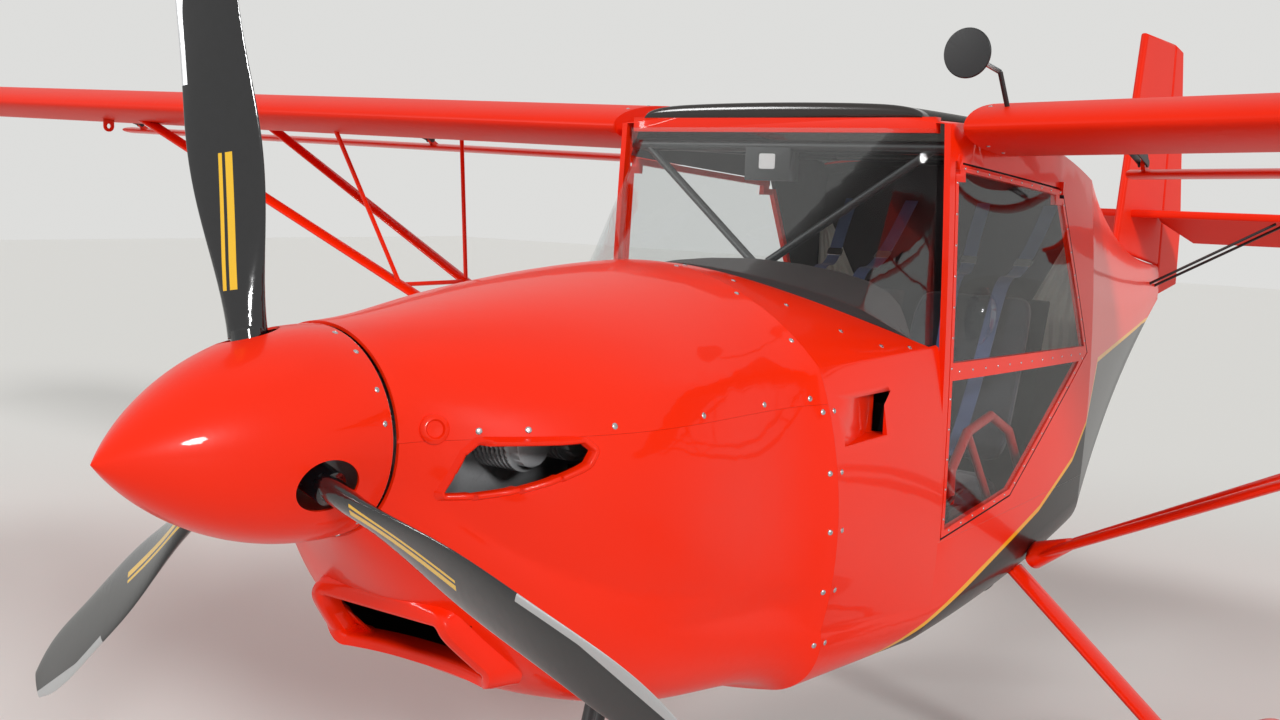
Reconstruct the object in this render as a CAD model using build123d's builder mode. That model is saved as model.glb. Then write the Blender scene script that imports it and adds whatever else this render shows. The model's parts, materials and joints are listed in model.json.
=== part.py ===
"""A two-seat high-wing light sport aircraft on nose-wheel gear, in millimetres.

X points to the aircraft's left, Y to its tail and Z up. The wheels stand on Z = 0,
and the origin is on the floor under the middle of the whole length.
Stations are given aft of the wing's leading edge and heights over the thrust line.
"""

import os
from math import atan2, cos, degrees, radians, sin, sqrt, tan

from build123d import *

# The whole aircraft
length = 5980.0
span = 9150.0
thrust_z = 1292.0

# Spinner and propeller
spinner_length = 437.0
spinner_radius = 186.0
spinner_wall = 4.0
spinner_to_wing = 1524.0
blade_ahead = 122.0
propeller_radius = 900.0
hub_radius = 62.0
hub_depth = 110.0
shank_radius = 30.0
first_blade_angle = 101.0
blade_count = 3

# Cowl and fuselage skins
cowl_gap = 9.0
skin = 6.0
firewall_aft = -560.0
firewall_thickness = 4.0
post_aft = 0.0
cabin_end_aft = 1160.0
tail_post_aft = 3650.0
seam = 0.4

# Wing
wing_height = 608.0
wing_root_x = 516.0
wing_chord = 1040.0
wing_dihedral = 1.7
wing_top = 74.0
wing_under = 56.0
wing_edge = 6.0
front_spar = 150.0
rear_spar = 800.0
flaperon_chord = 240.0
flaperon_gap = 24.0
flaperon_drop = 78.0
flaperon_inboard_x = 590.0
flaperon_outboard_x = 4380.0
flaperon_thickness = 30.0
flaperon_lug_rise = 30.0
bracket_stations = [640.0, 2250.0, 4230.0]
strut_wing_x = 3000.0
strut_chord = 62.0
strut_thickness = 26.0
jury_x = 1780.0
jury_radius = 8.0
tie_down_x = 3120.0
tie_down_hole = 10.0
tie_down_thickness = 8.0

# Tail
stabiliser_aft = 3150.0
stabiliser_height = 409.0
stabiliser_half_span = 1190.0
stabiliser_chord = 400.0
tail_thickness = 34.0
tail_round = 14.0
elevator_chord = 290.0
elevator_droop = 25.0
tail_gap = 14.0
fin_hinge_aft = 3665.0
fin_top_height = 1200.0

# Landing gear
wheel_radius = 175.0
tyre_width = 95.0
rim_radius = 92.0
main_wheel_x = 1160.0
main_wheel_aft = 672.0
leg_root_x = 470.0
leg_root_height = -615.0
leg_chord = 96.0
leg_thickness = 30.0
belly_fairing_half = 392.0
belly_fairing_height = -674.0
nose_wheel_aft = -830.0
nose_wheel_radius = 160.0
nose_tyre_width = 85.0
leg_hole_aft = -652.0
scoop_top_half = 150.0
scoop_low_half = 196.0
scoop_top_aft = -1360.0
scoop_low_aft = -1250.0
scoop_top_height = -352.0
scoop_low_height = -468.0
scoop_lip = 14.0
tow_bore = 8.0
tow_half = 84.0

os.makedirs("parts", exist_ok=True)

nose_y = -length / 2
spinner_back_y = nose_y + spinner_length
wing_y = spinner_back_y + spinner_to_wing
cowl_front_y = spinner_back_y + cowl_gap
blade_y = spinner_back_y - blade_ahead
firewall_y = wing_y + firewall_aft
post_y = wing_y + post_aft
cabin_end_y = wing_y + cabin_end_aft
tail_post_y = wing_y + tail_post_aft
hinge_y = wing_y + fin_hinge_aft
wing_z = thrust_z + wing_height
made = {}


def keep(piece, name):
    """Label a finished piece and write it."""
    piece.label = name
    made[name] = piece
    export_step(piece, f"parts/{name}.step")


def across(y):
    """The plane across the fuselage at a station, local X left and local Y up."""
    return Plane(origin=(0, y, 0), x_dir=(1, 0, 0), z_dir=(0, -1, 0))


def side(x):
    """The plane along the aircraft, local X aft and local Y up."""
    return Plane(origin=(x, 0, 0), x_dir=(0, 1, 0), z_dir=(1, 0, 0))


def aft(distance):
    return wing_y + distance


def up(height):
    return thrust_z + height


# Fuselage sections: station aft of the wing's leading edge, then heights over the
# thrust line and half widths: shoulder, top, widest side, upper and lower end of
# the lower corner, and bottom.
SECTIONS = [
    # aft, shoulder x, z, top z, side x, z, corner x, z, belly x, z, bottom z
    (-1360, 262, 50, 203, 285, -35, 268, -180, 180, -325, -357),
    (-1200, 350, 62, 225, 385, -20, 372, -275, 255, -480, -517),
    (-864, 420, 68, 263, 447, -35, 440, -400, 325, -590, -627),
    (-560, 462, 75, 276, 500, -45, 498, -490, 385, -648, -687),
    (0, 488, 80, 232, 508, -80, 507, -560, 400, -680, -702),
]
CABIN = [
    (0, 484, 616, 646, 508, -80, 507, -560, 400, -680, -702),
    (600, 484, 606, 640, 508, -80, 507, -520, 400, -655, -682),
    (1160, 462, 512, 566, 500, -20, 492, -470, 380, -600, -625),
]
TAIL = [
    (1160, 462, 512, 566, 500, -20, 492, -470, 380, -600, -625),
    (2000, 270, 365, 425, 330, 90, 322, -255, 240, -370, -392),
    (2980, 105, 212, 250, 148, 80, 144, -75, 100, -150, -165),
    (3650, 22, 150, 168, 30, 90, 29, 15, 20, -8, -14),
]


def closed_outline(plane, points):
    """A face of six joined arcs through twelve points, each arc by three of them."""
    with BuildSketch(plane) as outline:
        with BuildLine():
            for first in range(0, 12, 2):
                ThreePointArc(points[first], points[first + 1], points[(first + 2) % 12])
        make_face()
    return outline.sketch


def body_section(row, inset=0.0):
    """One fuselage section, drawn in from its outline by the inset."""
    station, sx, sz, tz, wx, wz, cx, cz, bx, bz, oz = row
    sx, wx, cx, bx = (value - inset for value in (sx, wx, cx, bx))
    tz, oz, bz = tz - inset, oz + inset, bz + inset
    kx, kz = bx + (cx - bx) * 0.72, cz + (bz - cz) * 0.70
    points = [(-sx, sz), (0, tz), (sx, sz), (wx, wz), (cx, cz), (kx, kz), (bx, bz)]
    points += [(0, oz), (-bx, bz), (-kx, kz), (-cx, cz), (-wx, wz)]
    return closed_outline(across(aft(station)), [(x, up(z)) for x, z in points])


def ring_section(radius):
    """The round front end of the cowl, with the same six arcs."""
    ends = [160, 90, 20, 0, -20, -40, -60, -90, -120, -140, -160, 180]
    points = [(radius * cos(radians(a)), up(radius * sin(radians(a)))) for a in ends]
    return closed_outline(across(cowl_front_y), points)


def lofted(rows, inset=0.0, nose=False):
    """Loft through the rows; the nose adds the round ring in front."""
    with BuildPart() as body:
        if nose:
            add(ring_section(spinner_radius + 4 - inset))
        for row in rows:
            add(body_section(row, inset))
        loft()
    return body.part


def slab(y0, y1, z0, z1, x0=-1000.0, x1=1000.0):
    """A plain block between limits, for parting the skins."""
    middle = Pos((x0 + x1) / 2, (y0 + y1) / 2, (z0 + z1) / 2)
    return middle * Box(x1 - x0, y1 - y0, z1 - z0, mode=Mode.PRIVATE)


def rod(start, end, radius):
    """A round bar or tube filled solid between two points."""
    a, b = Vector(*start), Vector(*end)
    with BuildPart() as bar:
        with BuildSketch(Plane(origin=a, z_dir=b - a)):
            Circle(radius)
        extrude(amount=(b - a).length)
    return bar.part


def fairing(start, end, chord, thickness, heading=(0, 1, 0)):
    """A streamlined bar between two points, its chord along the heading."""
    a, b = Vector(*start), Vector(*end)
    with BuildPart() as bar:
        with BuildSketch(Plane(origin=a, x_dir=heading, z_dir=b - a)):
            Ellipse(chord / 2, thickness / 2)
        extrude(amount=(b - a).length)
    return bar.part


def ogive(tip_y, radius):
    """Half the pointed nose's outline, from its tip to its open rear edge."""
    rear_y = spinner_back_y - 0.5
    run = rear_y - tip_y
    with BuildSketch(Plane.YZ) as half:
        with BuildLine():
            ThreePointArc(
                (tip_y, thrust_z),
                (tip_y + run * 0.36, thrust_z + radius * 0.66),
                (rear_y, thrust_z + radius),
            )
            Polyline((rear_y, thrust_z + radius), (rear_y, thrust_z), (tip_y, thrust_z))
        make_face()
    return half.sketch


# Spinner: a pointed ogive with a hole for each blade's shank
with BuildPart() as spinner:
    thrust_axis = Axis((0, 0, thrust_z), (0, 1, 0))
    revolve(ogive(nose_y, spinner_radius), axis=thrust_axis)
    hollow = 1 - spinner_wall / spinner_radius
    inner_tip = spinner_back_y - spinner_length * hollow
    revolve(ogive(inner_tip, spinner_radius * hollow), axis=thrust_axis, mode=Mode.SUBTRACT)
    for turn in range(blade_count):
        angle = first_blade_angle + turn * 360 / blade_count
        outward = (cos(radians(angle)), 0, sin(radians(angle)))
        with BuildSketch(Plane(origin=(0, blade_y, thrust_z), x_dir=(0, 1, 0), z_dir=outward)):
            Ellipse(56, 47)
        extrude(amount=spinner_radius + 20, mode=Mode.SUBTRACT)
keep(spinner.part, "spinner")

# Hub: backplate, shaft flange and a socket for each blade
with BuildPart() as hub:
    with BuildSketch(across(blade_y + hub_depth / 2)):
        with Locations((0, thrust_z)):
            Circle(hub_radius)
    extrude(amount=hub_depth)
    with BuildSketch(across(spinner_back_y)):
        with Locations((0, thrust_z)):
            Circle(spinner_radius)
    extrude(amount=0.4)
    with BuildSketch(across(cowl_front_y + 30)):
        with Locations((0, thrust_z)):
            Circle(50)
    extrude(amount=30 + cowl_gap + blade_ahead)
    for turn in range(blade_count):
        angle = first_blade_angle + turn * 360 / blade_count
        outward = (cos(radians(angle)), 0, sin(radians(angle)))
        with BuildSketch(Plane(origin=(0, blade_y, thrust_z), x_dir=(0, 1, 0), z_dir=outward)):
            Circle(40)
        extrude(amount=105)
        with BuildSketch(Plane(origin=(0, blade_y, thrust_z), x_dir=(0, 1, 0), z_dir=outward)):
            Circle(shank_radius)
        extrude(amount=120, mode=Mode.SUBTRACT)
    with BuildSketch(across(blade_y + hub_depth / 2)):
        with Locations((0, thrust_z)):
            Circle(38)
    extrude(amount=hub_depth)
keep(hub.part, "propeller_hub")

# Blades: round shank, then wide paddle sections with falling pitch
BLADE = [
    # radius, chord, thickness, pitch from the disc
    (170, 66, 46, 52),
    (300, 88, 26, 38),
    (520, 132, 17, 27),
    (720, 118, 12, 20),
    (propeller_radius, 56, 6, 16),
]
for turn in range(blade_count):
    angle = first_blade_angle + turn * 360 / blade_count
    outward = Vector(cos(radians(angle)), 0, sin(radians(angle)))
    tangent = Vector(-sin(radians(angle)), 0, cos(radians(angle)))
    with BuildPart() as blade:
        with BuildSketch(Plane(origin=Vector(0, blade_y, thrust_z) + outward * 45,
                               x_dir=(0, 1, 0), z_dir=outward)):
            Circle(shank_radius - 0.3)
        extrude(amount=170 - 45 + 12)
        for radius, chord, thick, pitch in BLADE:
            heading = tangent * cos(radians(pitch)) + Vector(0, -1, 0) * sin(radians(pitch))
            with BuildSketch(Plane(origin=Vector(0, blade_y, thrust_z) + outward * radius,
                                   x_dir=heading, z_dir=outward)):
                Ellipse(chord / 2, thick / 2)
        loft()
    keep(blade.part, f"propeller_blade_{turn + 1}")

# Engine: a flat four with finned cylinders, gearbox in front on the thrust line
with BuildPart() as engine:
    with BuildSketch(across(aft(-1010))):
        with Locations((0, up(-20))):
            Rectangle(300, 260)
    extrude(amount=330)
    with BuildSketch(across(aft(-1340))):
        with Locations((0, thrust_z)):
            Circle(88)
    extrude(amount=aft(-1340) - cowl_front_y - 30.3)
    for row in (-1250, -1110):
        for hand in (1, -1):
            for fin in range(9):
                with BuildSketch(Plane(origin=(hand * (150 + fin * 11), aft(row), up(-20)),
                                       z_dir=(hand, 0, 0))):
                    Circle(58)
                extrude(amount=6)
            with BuildSketch(Plane(origin=(hand * 150, aft(row), up(-20)), z_dir=(hand, 0, 0))):
                Circle(48)
            extrude(amount=112)
keep(engine.part, "engine")

# Firewall and the engine's four mount tubes
with BuildPart() as firewall:
    extrude(body_section(SECTIONS[3], skin + 0.5), amount=-firewall_thickness)
keep(firewall.part, "firewall")
with BuildPart() as mount:
    for hand in (1, -1):
        for foot, head in ((160, 90), (-260, -120)):
            add(rod((hand * 190, firewall_y, up(foot)), (hand * 110, aft(-1010), up(head)), 11))
    add(engine.part, mode=Mode.SUBTRACT)
    add(firewall.part, mode=Mode.SUBTRACT)
keep(mount.part, "engine_mount")

# Cowl and forward fuselage skin
COWL = SECTIONS[:4]
FORWARD = SECTIONS[3:]
shell = lofted(COWL, nose=True) - lofted(COWL, inset=skin, nose=True)
upper_cut = slab(cowl_front_y - 5, firewall_y - seam / 2, thrust_z + seam / 2, 3000)
lower_cut = slab(cowl_front_y - 5, firewall_y - seam / 2, 0, thrust_z - seam / 2)
with BuildPart() as cowl_upper:
    add(shell & upper_cut)
keep(cowl_upper.part, "cowl_upper")

# side intake's outline: station and height
INTAKE = [
    (-1440, -94), (-1424, -58), (-1410, -26), (-1391, -8), (-1235, -11), (-1222, -26),
    (-1237, -47), (-1283, -66), (-1341, -84), (-1400, -94),
]


def scoop_frame(grow, depth):
    """The scoop's mouth drawn out by some amount and carried along its own direction."""
    back, fall = scoop_low_aft - scoop_top_aft, scoop_low_height - scoop_top_height
    lean = atan2(fall, back)
    middle = (0, aft(scoop_top_aft + back / 2), up(scoop_top_height + fall / 2))
    mouth = Plane(origin=middle, x_dir=(1, 0, 0), z_dir=(0, sin(lean), -cos(lean)))
    tall = sqrt(back ** 2 + fall ** 2) / 2
    with BuildPart() as piece:
        with BuildSketch(mouth.offset(-depth / 2)):
            with BuildLine():
                Polyline((-scoop_top_half, tall), (scoop_top_half, tall),
                         (scoop_low_half, -tall), (-scoop_low_half, -tall), close=True)
            make_face()
            offset(amount=grow, kind=Kind.ARC)
        extrude(amount=depth)
    return piece.part


scoop_ring = scoop_frame(scoop_lip, 34) - scoop_frame(-2, 60)
with BuildPart() as cowl_lower:
    add((shell & lower_cut) + scoop_ring)
    # scoop mouth in the chin
    with BuildSketch(Plane(origin=(0, aft(-1500), up(-411)), x_dir=(1, 0, 0), z_dir=(0, 1, 0))):
        with BuildLine():
            Polyline((-150, 55), (150, 55), (196, -55), (-196, -55), close=True)
        make_face()
    extrude(amount=330, mode=Mode.SUBTRACT)
    # side intakes behind the propeller
    for hand in (1, -1):
        with BuildSketch(side(hand * 120)):
            with BuildLine():
                Polyline(*[(aft(a), up(h)) for a, h in INTAKE], close=True)
            make_face()
        extrude(amount=hand * 400, mode=Mode.SUBTRACT)
    # round hole for the nose leg
    with BuildSketch(Plane.XY.offset(0)):
        with Locations((0, aft(leg_hole_aft))):
            Ellipse(44, 62)
    extrude(amount=up(-300), mode=Mode.SUBTRACT)
keep(cowl_lower.part, "cowl_lower")

# Windscreen: a sheet from the straight header down to the half-oval base
base_slope = 0.4275
base_front_aft = -480.0
base_front_height = 272.0
base_half = 478.0
base_depth = 478.0
header_half = 452.0
header_height = 604.0
glass = 4.0
base_plane = Plane(
    origin=(0, aft(base_front_aft), up(base_front_height)),
    x_dir=(1, 0, 0),
    z_dir=(0, base_slope, 1),
)
header_bow = 30.0
header_plane = Plane(origin=(0, aft(-2 - header_bow), up(header_height)), x_dir=(1, 0, 0))


def sheet_edge(plane, half, depth, bow, wall):
    """The sheet's edge on a plane: straight sides that run into a wide front arc."""
    knee, back = half * 0.86, depth * 0.45
    with BuildSketch(plane) as edge:
        with BuildLine():
            Line((half, depth), (knee, back))
            ThreePointArc((knee, back), (0, bow), (-knee, back))
            Line((-knee, back), (-half, depth))
            Line((-half, depth), (-half + wall, depth))
            Line((-half + wall, depth), (-knee + wall, back + wall))
            ThreePointArc((-knee + wall, back + wall), (0, bow + wall), (knee - wall, back + wall))
            Line((knee - wall, back + wall), (half - wall, depth))
            Line((half - wall, depth), (half, depth))
        make_face()
    return edge.sketch


with BuildPart() as windscreen:
    add(sheet_edge(base_plane, base_half, base_depth / cos(atan2(base_slope, 1)), 0, glass))
    add(sheet_edge(header_plane, header_half, header_bow, 4, glass))
    loft(ruled=True)
keep(windscreen.part, "windscreen")

# Forward fuselage skin between the firewall and the door post
forward = lofted(FORWARD) - lofted(FORWARD, inset=skin)
forward = forward & slab(firewall_y + seam / 2, post_y, 0, 3000)
above_base = Pos(0, 0, 0) * (
    Plane(origin=(0, aft(base_front_aft), up(base_front_height - 0.3)), x_dir=(1, 0, 0),
          z_dir=(0, base_slope, 1))
    * Pos(0, 500, 500) * Box(2 * base_half + 4, 1000, 1000)
)


def inlet_prism(points, low, high):
    """A prism between two heights over an outline in plan, given as side distance and station."""
    with BuildPart() as prism:
        with BuildSketch(Plane.XY.offset(up(low))):
            with BuildLine():
                Polyline(*[(x, aft(a)) for x, a in points], close=True)
            make_face()
        extrude(amount=high - low)
    return prism.part


# flush inlets: each ramp sinks to a mouth that faces forward
inlet_block = inlet_prism([(440, -532), (560, -532), (560, -278), (440, -278)], -108, 16)
inlet_way = inlet_prism([(507, -515), (640, -515), (640, -309), (498, -309), (493, -268),
                         (456, -268), (456, -309)], -94, 2)
with BuildPart() as forward_skin:
    add(forward - above_base)
    for turned in (False, True):
        block = inlet_block & lofted(FORWARD)
        way = inlet_way
        if turned:
            block = mirror(block, about=Plane.YZ, mode=Mode.PRIVATE)
            way = mirror(way, about=Plane.YZ, mode=Mode.PRIVATE)
        add(block)
        add(way, mode=Mode.SUBTRACT)
keep(forward_skin.part, "forward_skin")

# Cabin shell, parted into the tub below the doors and the frame round them
DOOR = [
    # aft, height: front top, rear top, rear middle, rear bottom, front bottom
    (30, 530), (830, 480), (1118, -15), (500, -365), (-2 + 34, -402),
]
RAIL = [(30, 18), (1118, -15)]
door_gap = 5.0
pane_inset = 22.0
pane = 4.0
door_wall = skin + 10
hinge_radius = 7.0
hinge_drop = door_gap + hinge_radius
ear_room = 17.0
corner_plate = 36.0
tub_split = -405.0


def door_prism(rows, inset):
    """The region inside a row of door corners, drawn in, through both sides."""
    with BuildPart() as prism:
        with BuildSketch(side(-700)):
            with BuildLine():
                Polyline(*[(aft(a), up(h)) for a, h in rows], close=True)
            make_face()
            if inset:
                offset(amount=-inset, kind=Kind.INTERSECTION)
        extrude(amount=1400)
    return prism.part


cabin_outer = lofted(CABIN)
cabin_wall = cabin_outer - lofted(CABIN, inset=door_wall)
cabin = cabin_wall & slab(post_y + seam, cabin_end_y, 0, 3000)
door_hole = door_prism(DOOR, 0)
with BuildPart() as roof_hole:
    with BuildSketch(Plane.XY.offset(up(520))):
        with Locations((0, aft(560))):
            Rectangle(820, 1000)
    extrude(amount=400)
with BuildPart() as cabin_tub:
    add((cabin - door_hole) & slab(post_y, cabin_end_y, 0, up(tub_split) - seam / 2))
    # fairing across the belly over the gear legs' roots
    belly = (aft(main_wheel_aft + 18), up(belly_fairing_height))
    add(fairing((-belly_fairing_half, *belly), (belly_fairing_half, *belly), 150, 44))
keep(cabin_tub.part, "cabin_tub")

# Doors: a frame with a middle rail, hung from a tube along its upper edge
hinge_x = 487.0
axis_front = (hinge_x, aft(DOOR[0][0] + 30), up(DOOR[0][1] - hinge_drop - 2))
axis_rear = (hinge_x, aft(DOOR[1][0] - 30), up(DOOR[1][1] - hinge_drop + 1))
hinge_ears = []
for end, step in ((axis_front, -1), (axis_rear, 1)):
    y_mid = end[1] + step * 8.9
    hinge_ears.append(slab(y_mid - 8, y_mid + 8, end[2] - 7, end[2] + 30, 478, 496))
beam = slab(post_y + seam, aft(28), up(594), up(632), -446, 446)
with BuildPart() as cabin_frame:
    add(beam)
    add((cabin - door_hole - roof_hole.part)
        & slab(post_y, cabin_end_y, up(tub_split) + seam / 2, 3000))
    for ear in hinge_ears:
        add(ear)
        add(mirror(ear, about=Plane.YZ, mode=Mode.PRIVATE))
    for hand in (1, -1):
        for spar in (front_spar, rear_spar):
            add(rod((hand * 462, aft(spar), wing_z - 8), (hand * wing_root_x, aft(spar), wing_z - 8), 16))
keep(cabin_frame.part, "cabin_frame")

upper_rows = [DOOR[0], DOOR[1], RAIL[1], RAIL[0]]
lower_rows = [RAIL[0], RAIL[1], DOOR[3], DOOR[4]]
leaf = cabin_wall & door_prism(DOOR, door_gap)
upper_light = door_prism(upper_rows, pane_inset)
for end, step in ((axis_front, -1), (axis_rear, 1)):
    y_mid = end[1] + step * 25
    leaf = leaf - slab(y_mid - 25, y_mid + 25, end[2] - ear_room, end[2] + 60)
    inner = end[1] - step * 32
    upper_light = upper_light - slab(min(inner, y_mid), max(inner, y_mid), end[2] - corner_plate, 3000)
lower_light = door_prism(lower_rows, pane_inset)
pane_skin = cabin_outer - lofted(CABIN, inset=pane)
panes = (pane_skin & upper_light) + (pane_skin & lower_light)
half_space = slab(-4000, 4000, 0, 3000, 0, 1000)
other_half = slab(-4000, 4000, 0, 3000, -1000, 0)
for name, half, hand in (("left", half_space, 1), ("right", other_half, -1)):
    with BuildPart() as door:
        add((leaf - upper_light - lower_light) & half)
        add(rod((hand * axis_front[0], axis_front[1], axis_front[2]),
                (hand * axis_rear[0], axis_rear[1], axis_rear[2]), hinge_radius))
    keep(door.part, f"door_frame_{name}")
    with BuildPart() as door_panes:
        add(panes & half)
    keep(door_panes.part, f"door_panes_{name}")

with BuildPart() as roof_panel:
    add((cabin_outer - lofted(CABIN, inset=pane))
        & slab(aft(60.5), aft(1059.5), up(525), 3000, -409.5, 409.5))
keep(roof_panel.part, "roof_panel")

# Glareshield and instrument panel: the deck's line carried on inside the windscreen
panel_aft = -70.0
shade = lofted(FORWARD, inset=skin + 1) - lofted(FORWARD, inset=skin + 7)
shade = (shade & above_base) & slab(firewall_y, aft(panel_aft), 0, 3000)
shade = (shade - windscreen.part).solids().sort_by(SortBy.VOLUME)[-1]
board = lofted(FORWARD, inset=skin + 6.5) & slab(aft(panel_aft - 6), aft(panel_aft), up(-60), up(400))
board = board - windscreen.part
with BuildPart() as instrument_panel:
    add(shade)
    add(board)
keep(instrument_panel.part, "instrument_panel")

# Steel tubes seen inside the cabin
tube = 11.0
with BuildPart() as cabin_tubes:
    for hand in (1, -1):
        add(rod((hand * 430, aft(48), up(560)), (hand * 24, aft(-40), up(262)), tube))
        add(rod((hand * 430, aft(48), up(560)), (hand * 250, aft(830), up(560)), tube))
    add(rod((-500, aft(48), up(560)), (500, aft(48), up(560)), 16))
    add(rod((-500, aft(830), up(560)), (500, aft(830), up(560)), tube))
    add(made["cabin_frame"], mode=Mode.SUBTRACT)
    add(made["instrument_panel"], mode=Mode.SUBTRACT)
    add(slab(aft(0), aft(900), up(500), up(640), 476, 600), mode=Mode.SUBTRACT)
    add(slab(aft(0), aft(900), up(500), up(640), -600, -476), mode=Mode.SUBTRACT)
    # box with a small display, hung from the cross tube
    add(slab(aft(30), aft(78), up(470), up(556), -100, 34))
    add(slab(aft(42), aft(58), up(550), up(566), -60, -10))
keep(cabin_tubes.part, "cabin_tubes")
with BuildPart() as seat_tubes:
    for station in (340, 700):
        add(rod((-500, aft(station), up(-480)), (500, aft(station), up(-480)), 14))
    add(made["cabin_frame"], mode=Mode.SUBTRACT)
    add(made["cabin_tub"], mode=Mode.SUBTRACT)
    add(slab(aft(0), aft(1000), up(-500), up(-460), 492, 600), mode=Mode.SUBTRACT)
    add(slab(aft(0), aft(1000), up(-500), up(-460), -600, -492), mode=Mode.SUBTRACT)
    for hand in (1, -1):
        run = [(210, -480), (206, -259), (300, -170), (460, -143), (605, -202), (802, -436)]
        for (a, h), (b, k) in zip(run, run[1:]):
            add(rod((hand * 455, aft(a), up(h)), (hand * 455, aft(b), up(k)), 13))
        for a, h in run[1:-1]:
            with Locations((hand * 455, aft(a), up(h))):
                Sphere(13)
        add(rod((hand * 455, aft(300), up(-170)), (hand * 455, aft(560), up(-470)), 11))
        add(rod((hand * 455, aft(802), up(-436)), (hand * 455, aft(700), up(-480)), 13))
    add(made["cabin_tub"], mode=Mode.SUBTRACT)
keep(seat_tubes.part, "seat_tubes")

# Seats
for hand, name in ((1, "left"), (-1, "right")):
    with BuildPart() as seat:
        with BuildSketch(side(hand * 235 - 205)):
            with BuildLine():
                Polyline(
                    (aft(250), up(-465.7)), (aft(760), up(-465.7)), (aft(980), up(180)),
                    (aft(900), up(205)), (aft(700), up(-360)), (aft(250), up(-345)), close=True,
                )
            make_face()
        extrude(amount=410)
    keep(seat.part, f"seat_{name}")
with BuildPart() as bulkhead:
    extrude(body_section(CABIN[2], door_wall + 0.5), amount=4)
keep(bulkhead.part, "rear_bulkhead")

# Aft fuselage
tail_outer = lofted(TAIL)
with BuildPart() as aft_fuselage:
    add(tail_outer & slab(cabin_end_y + seam, tail_post_y + 10, 0, 3000))
    add(lofted(TAIL[:3], inset=skin) & slab(cabin_end_y - 10, tail_post_y, 0, 3000), mode=Mode.SUBTRACT)
keep(aft_fuselage.part, "aft_fuselage")

# Wings
def airfoil(plane, chord, top, under, edge):
    """Wing section: oval nose, gently curved top, nearly flat underside."""
    crest = 0.3 * chord
    with BuildSketch(plane) as section:
        with BuildLine():
            EllipticalCenterArc((crest, 0), crest, top, start_angle=90, arc_size=90)
            EllipticalCenterArc((crest, 0), crest, under, start_angle=180, arc_size=90)
            ThreePointArc((crest, -under), (0.65 * chord, -under * 0.62), (chord, -edge))
            Line((chord, -edge), (chord, edge))
            ThreePointArc((chord, edge), (0.65 * chord, top * 0.72), (crest, top))
        make_face()
    return section.sketch


def hinge_pin(hand, x, y, z, half, radius):
    """A flaperon pin along the hinge line, which rises outward with the wing."""
    rise = half * tan(radians(wing_dihedral))
    return rod((hand * (x - half), y, z - rise), (hand * (x + half), y, z + rise), radius)


tip_x = span / 2
tip_length = 150.0
tip_chord = 0.84
tip_depth = 0.42
tie_down_z = wing_z + tan(radians(wing_dihedral)) * (tie_down_x - wing_root_x) - 74
for hand, name in ((1, "left"), (-1, "right")):
    with BuildPart() as wing:
        stations = ((wing_root_x, 1, 1), (tip_x - tip_length, 1, 1), (tip_x, tip_chord, tip_depth))
        for x, chord, depth in stations:
            lift = tan(radians(wing_dihedral)) * (x - wing_root_x)
            nose = wing_y + wing_chord * (1 - chord) * 0.6
            add(airfoil(side(hand * x).shift_origin((hand * x, nose, wing_z + lift)),
                        wing_chord * chord, wing_top * depth, wing_under * depth, wing_edge * depth))
        loft(ruled=True)
        # eye for a tie-down rope under the strut's end
        with BuildSketch(side(hand * tie_down_x - tie_down_thickness / 2)):
            with Locations((wing_y + front_spar, tie_down_z + 28)):
                Rectangle(44, 60)
            with Locations((wing_y + front_spar, tie_down_z)):
                Circle(22)
                Circle(tie_down_hole, mode=Mode.SUBTRACT)
        extrude(amount=tie_down_thickness)
    keep(wing.part, f"wing_{name}")
    flap_y = wing_y + wing_chord + flaperon_gap
    inner_lift = tan(radians(wing_dihedral)) * (flaperon_inboard_x - wing_root_x)
    outer_lift = tan(radians(wing_dihedral)) * (flaperon_outboard_x - wing_root_x)
    with BuildPart() as flaperon:
        for x, lift in ((flaperon_inboard_x, inner_lift), (flaperon_outboard_x, outer_lift)):
            add(airfoil(side(hand * x).shift_origin((hand * x, flap_y, wing_z - flaperon_drop + lift)),
                        flaperon_chord, flaperon_thickness / 2, flaperon_thickness / 2, 2))
        loft(ruled=True)
        for x in bracket_stations:
            lift = tan(radians(wing_dihedral)) * (x - wing_root_x)
            pin_z = wing_z - flaperon_drop + flaperon_lug_rise + lift
            with BuildSketch(side(hand * x - 6)):
                with BuildLine():
                    Polyline(
                        (flap_y - 12, pin_z), (flap_y + 12, pin_z),
                        (flap_y + 70, pin_z - flaperon_lug_rise), (flap_y + 10, pin_z - flaperon_lug_rise),
                        close=True,
                    )
                make_face()
                with Locations((flap_y, pin_z)):
                    Circle(12)
            extrude(amount=12)
            add(hinge_pin(hand, x, flap_y, pin_z, 20, 5.3), mode=Mode.SUBTRACT)
    keep(flaperon.part, f"flaperon_{name}")
    with BuildPart() as brackets:
        for x in bracket_stations:
            lift = tan(radians(wing_dihedral)) * (x - wing_root_x)
            pin_z = wing_z - flaperon_drop + flaperon_lug_rise + lift
            for beside in (-14, 10):
                with BuildSketch(side(hand * x + beside)):
                    with BuildLine():
                        Polyline(
                            (wing_y + 860, wing_z + lift), (wing_y + 1030, wing_z + lift),
                            (flap_y + 12, pin_z), (flap_y - 12, pin_z - 4), close=True,
                        )
                    make_face()
                    with Locations((flap_y, pin_z)):
                        Circle(12)
                extrude(amount=4)
            add(hinge_pin(hand, x, flap_y, pin_z, 13, 5.0))
        add(made[f"wing_{name}"], mode=Mode.SUBTRACT)
    keep(brackets.part, f"flaperon_brackets_{name}")

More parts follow.
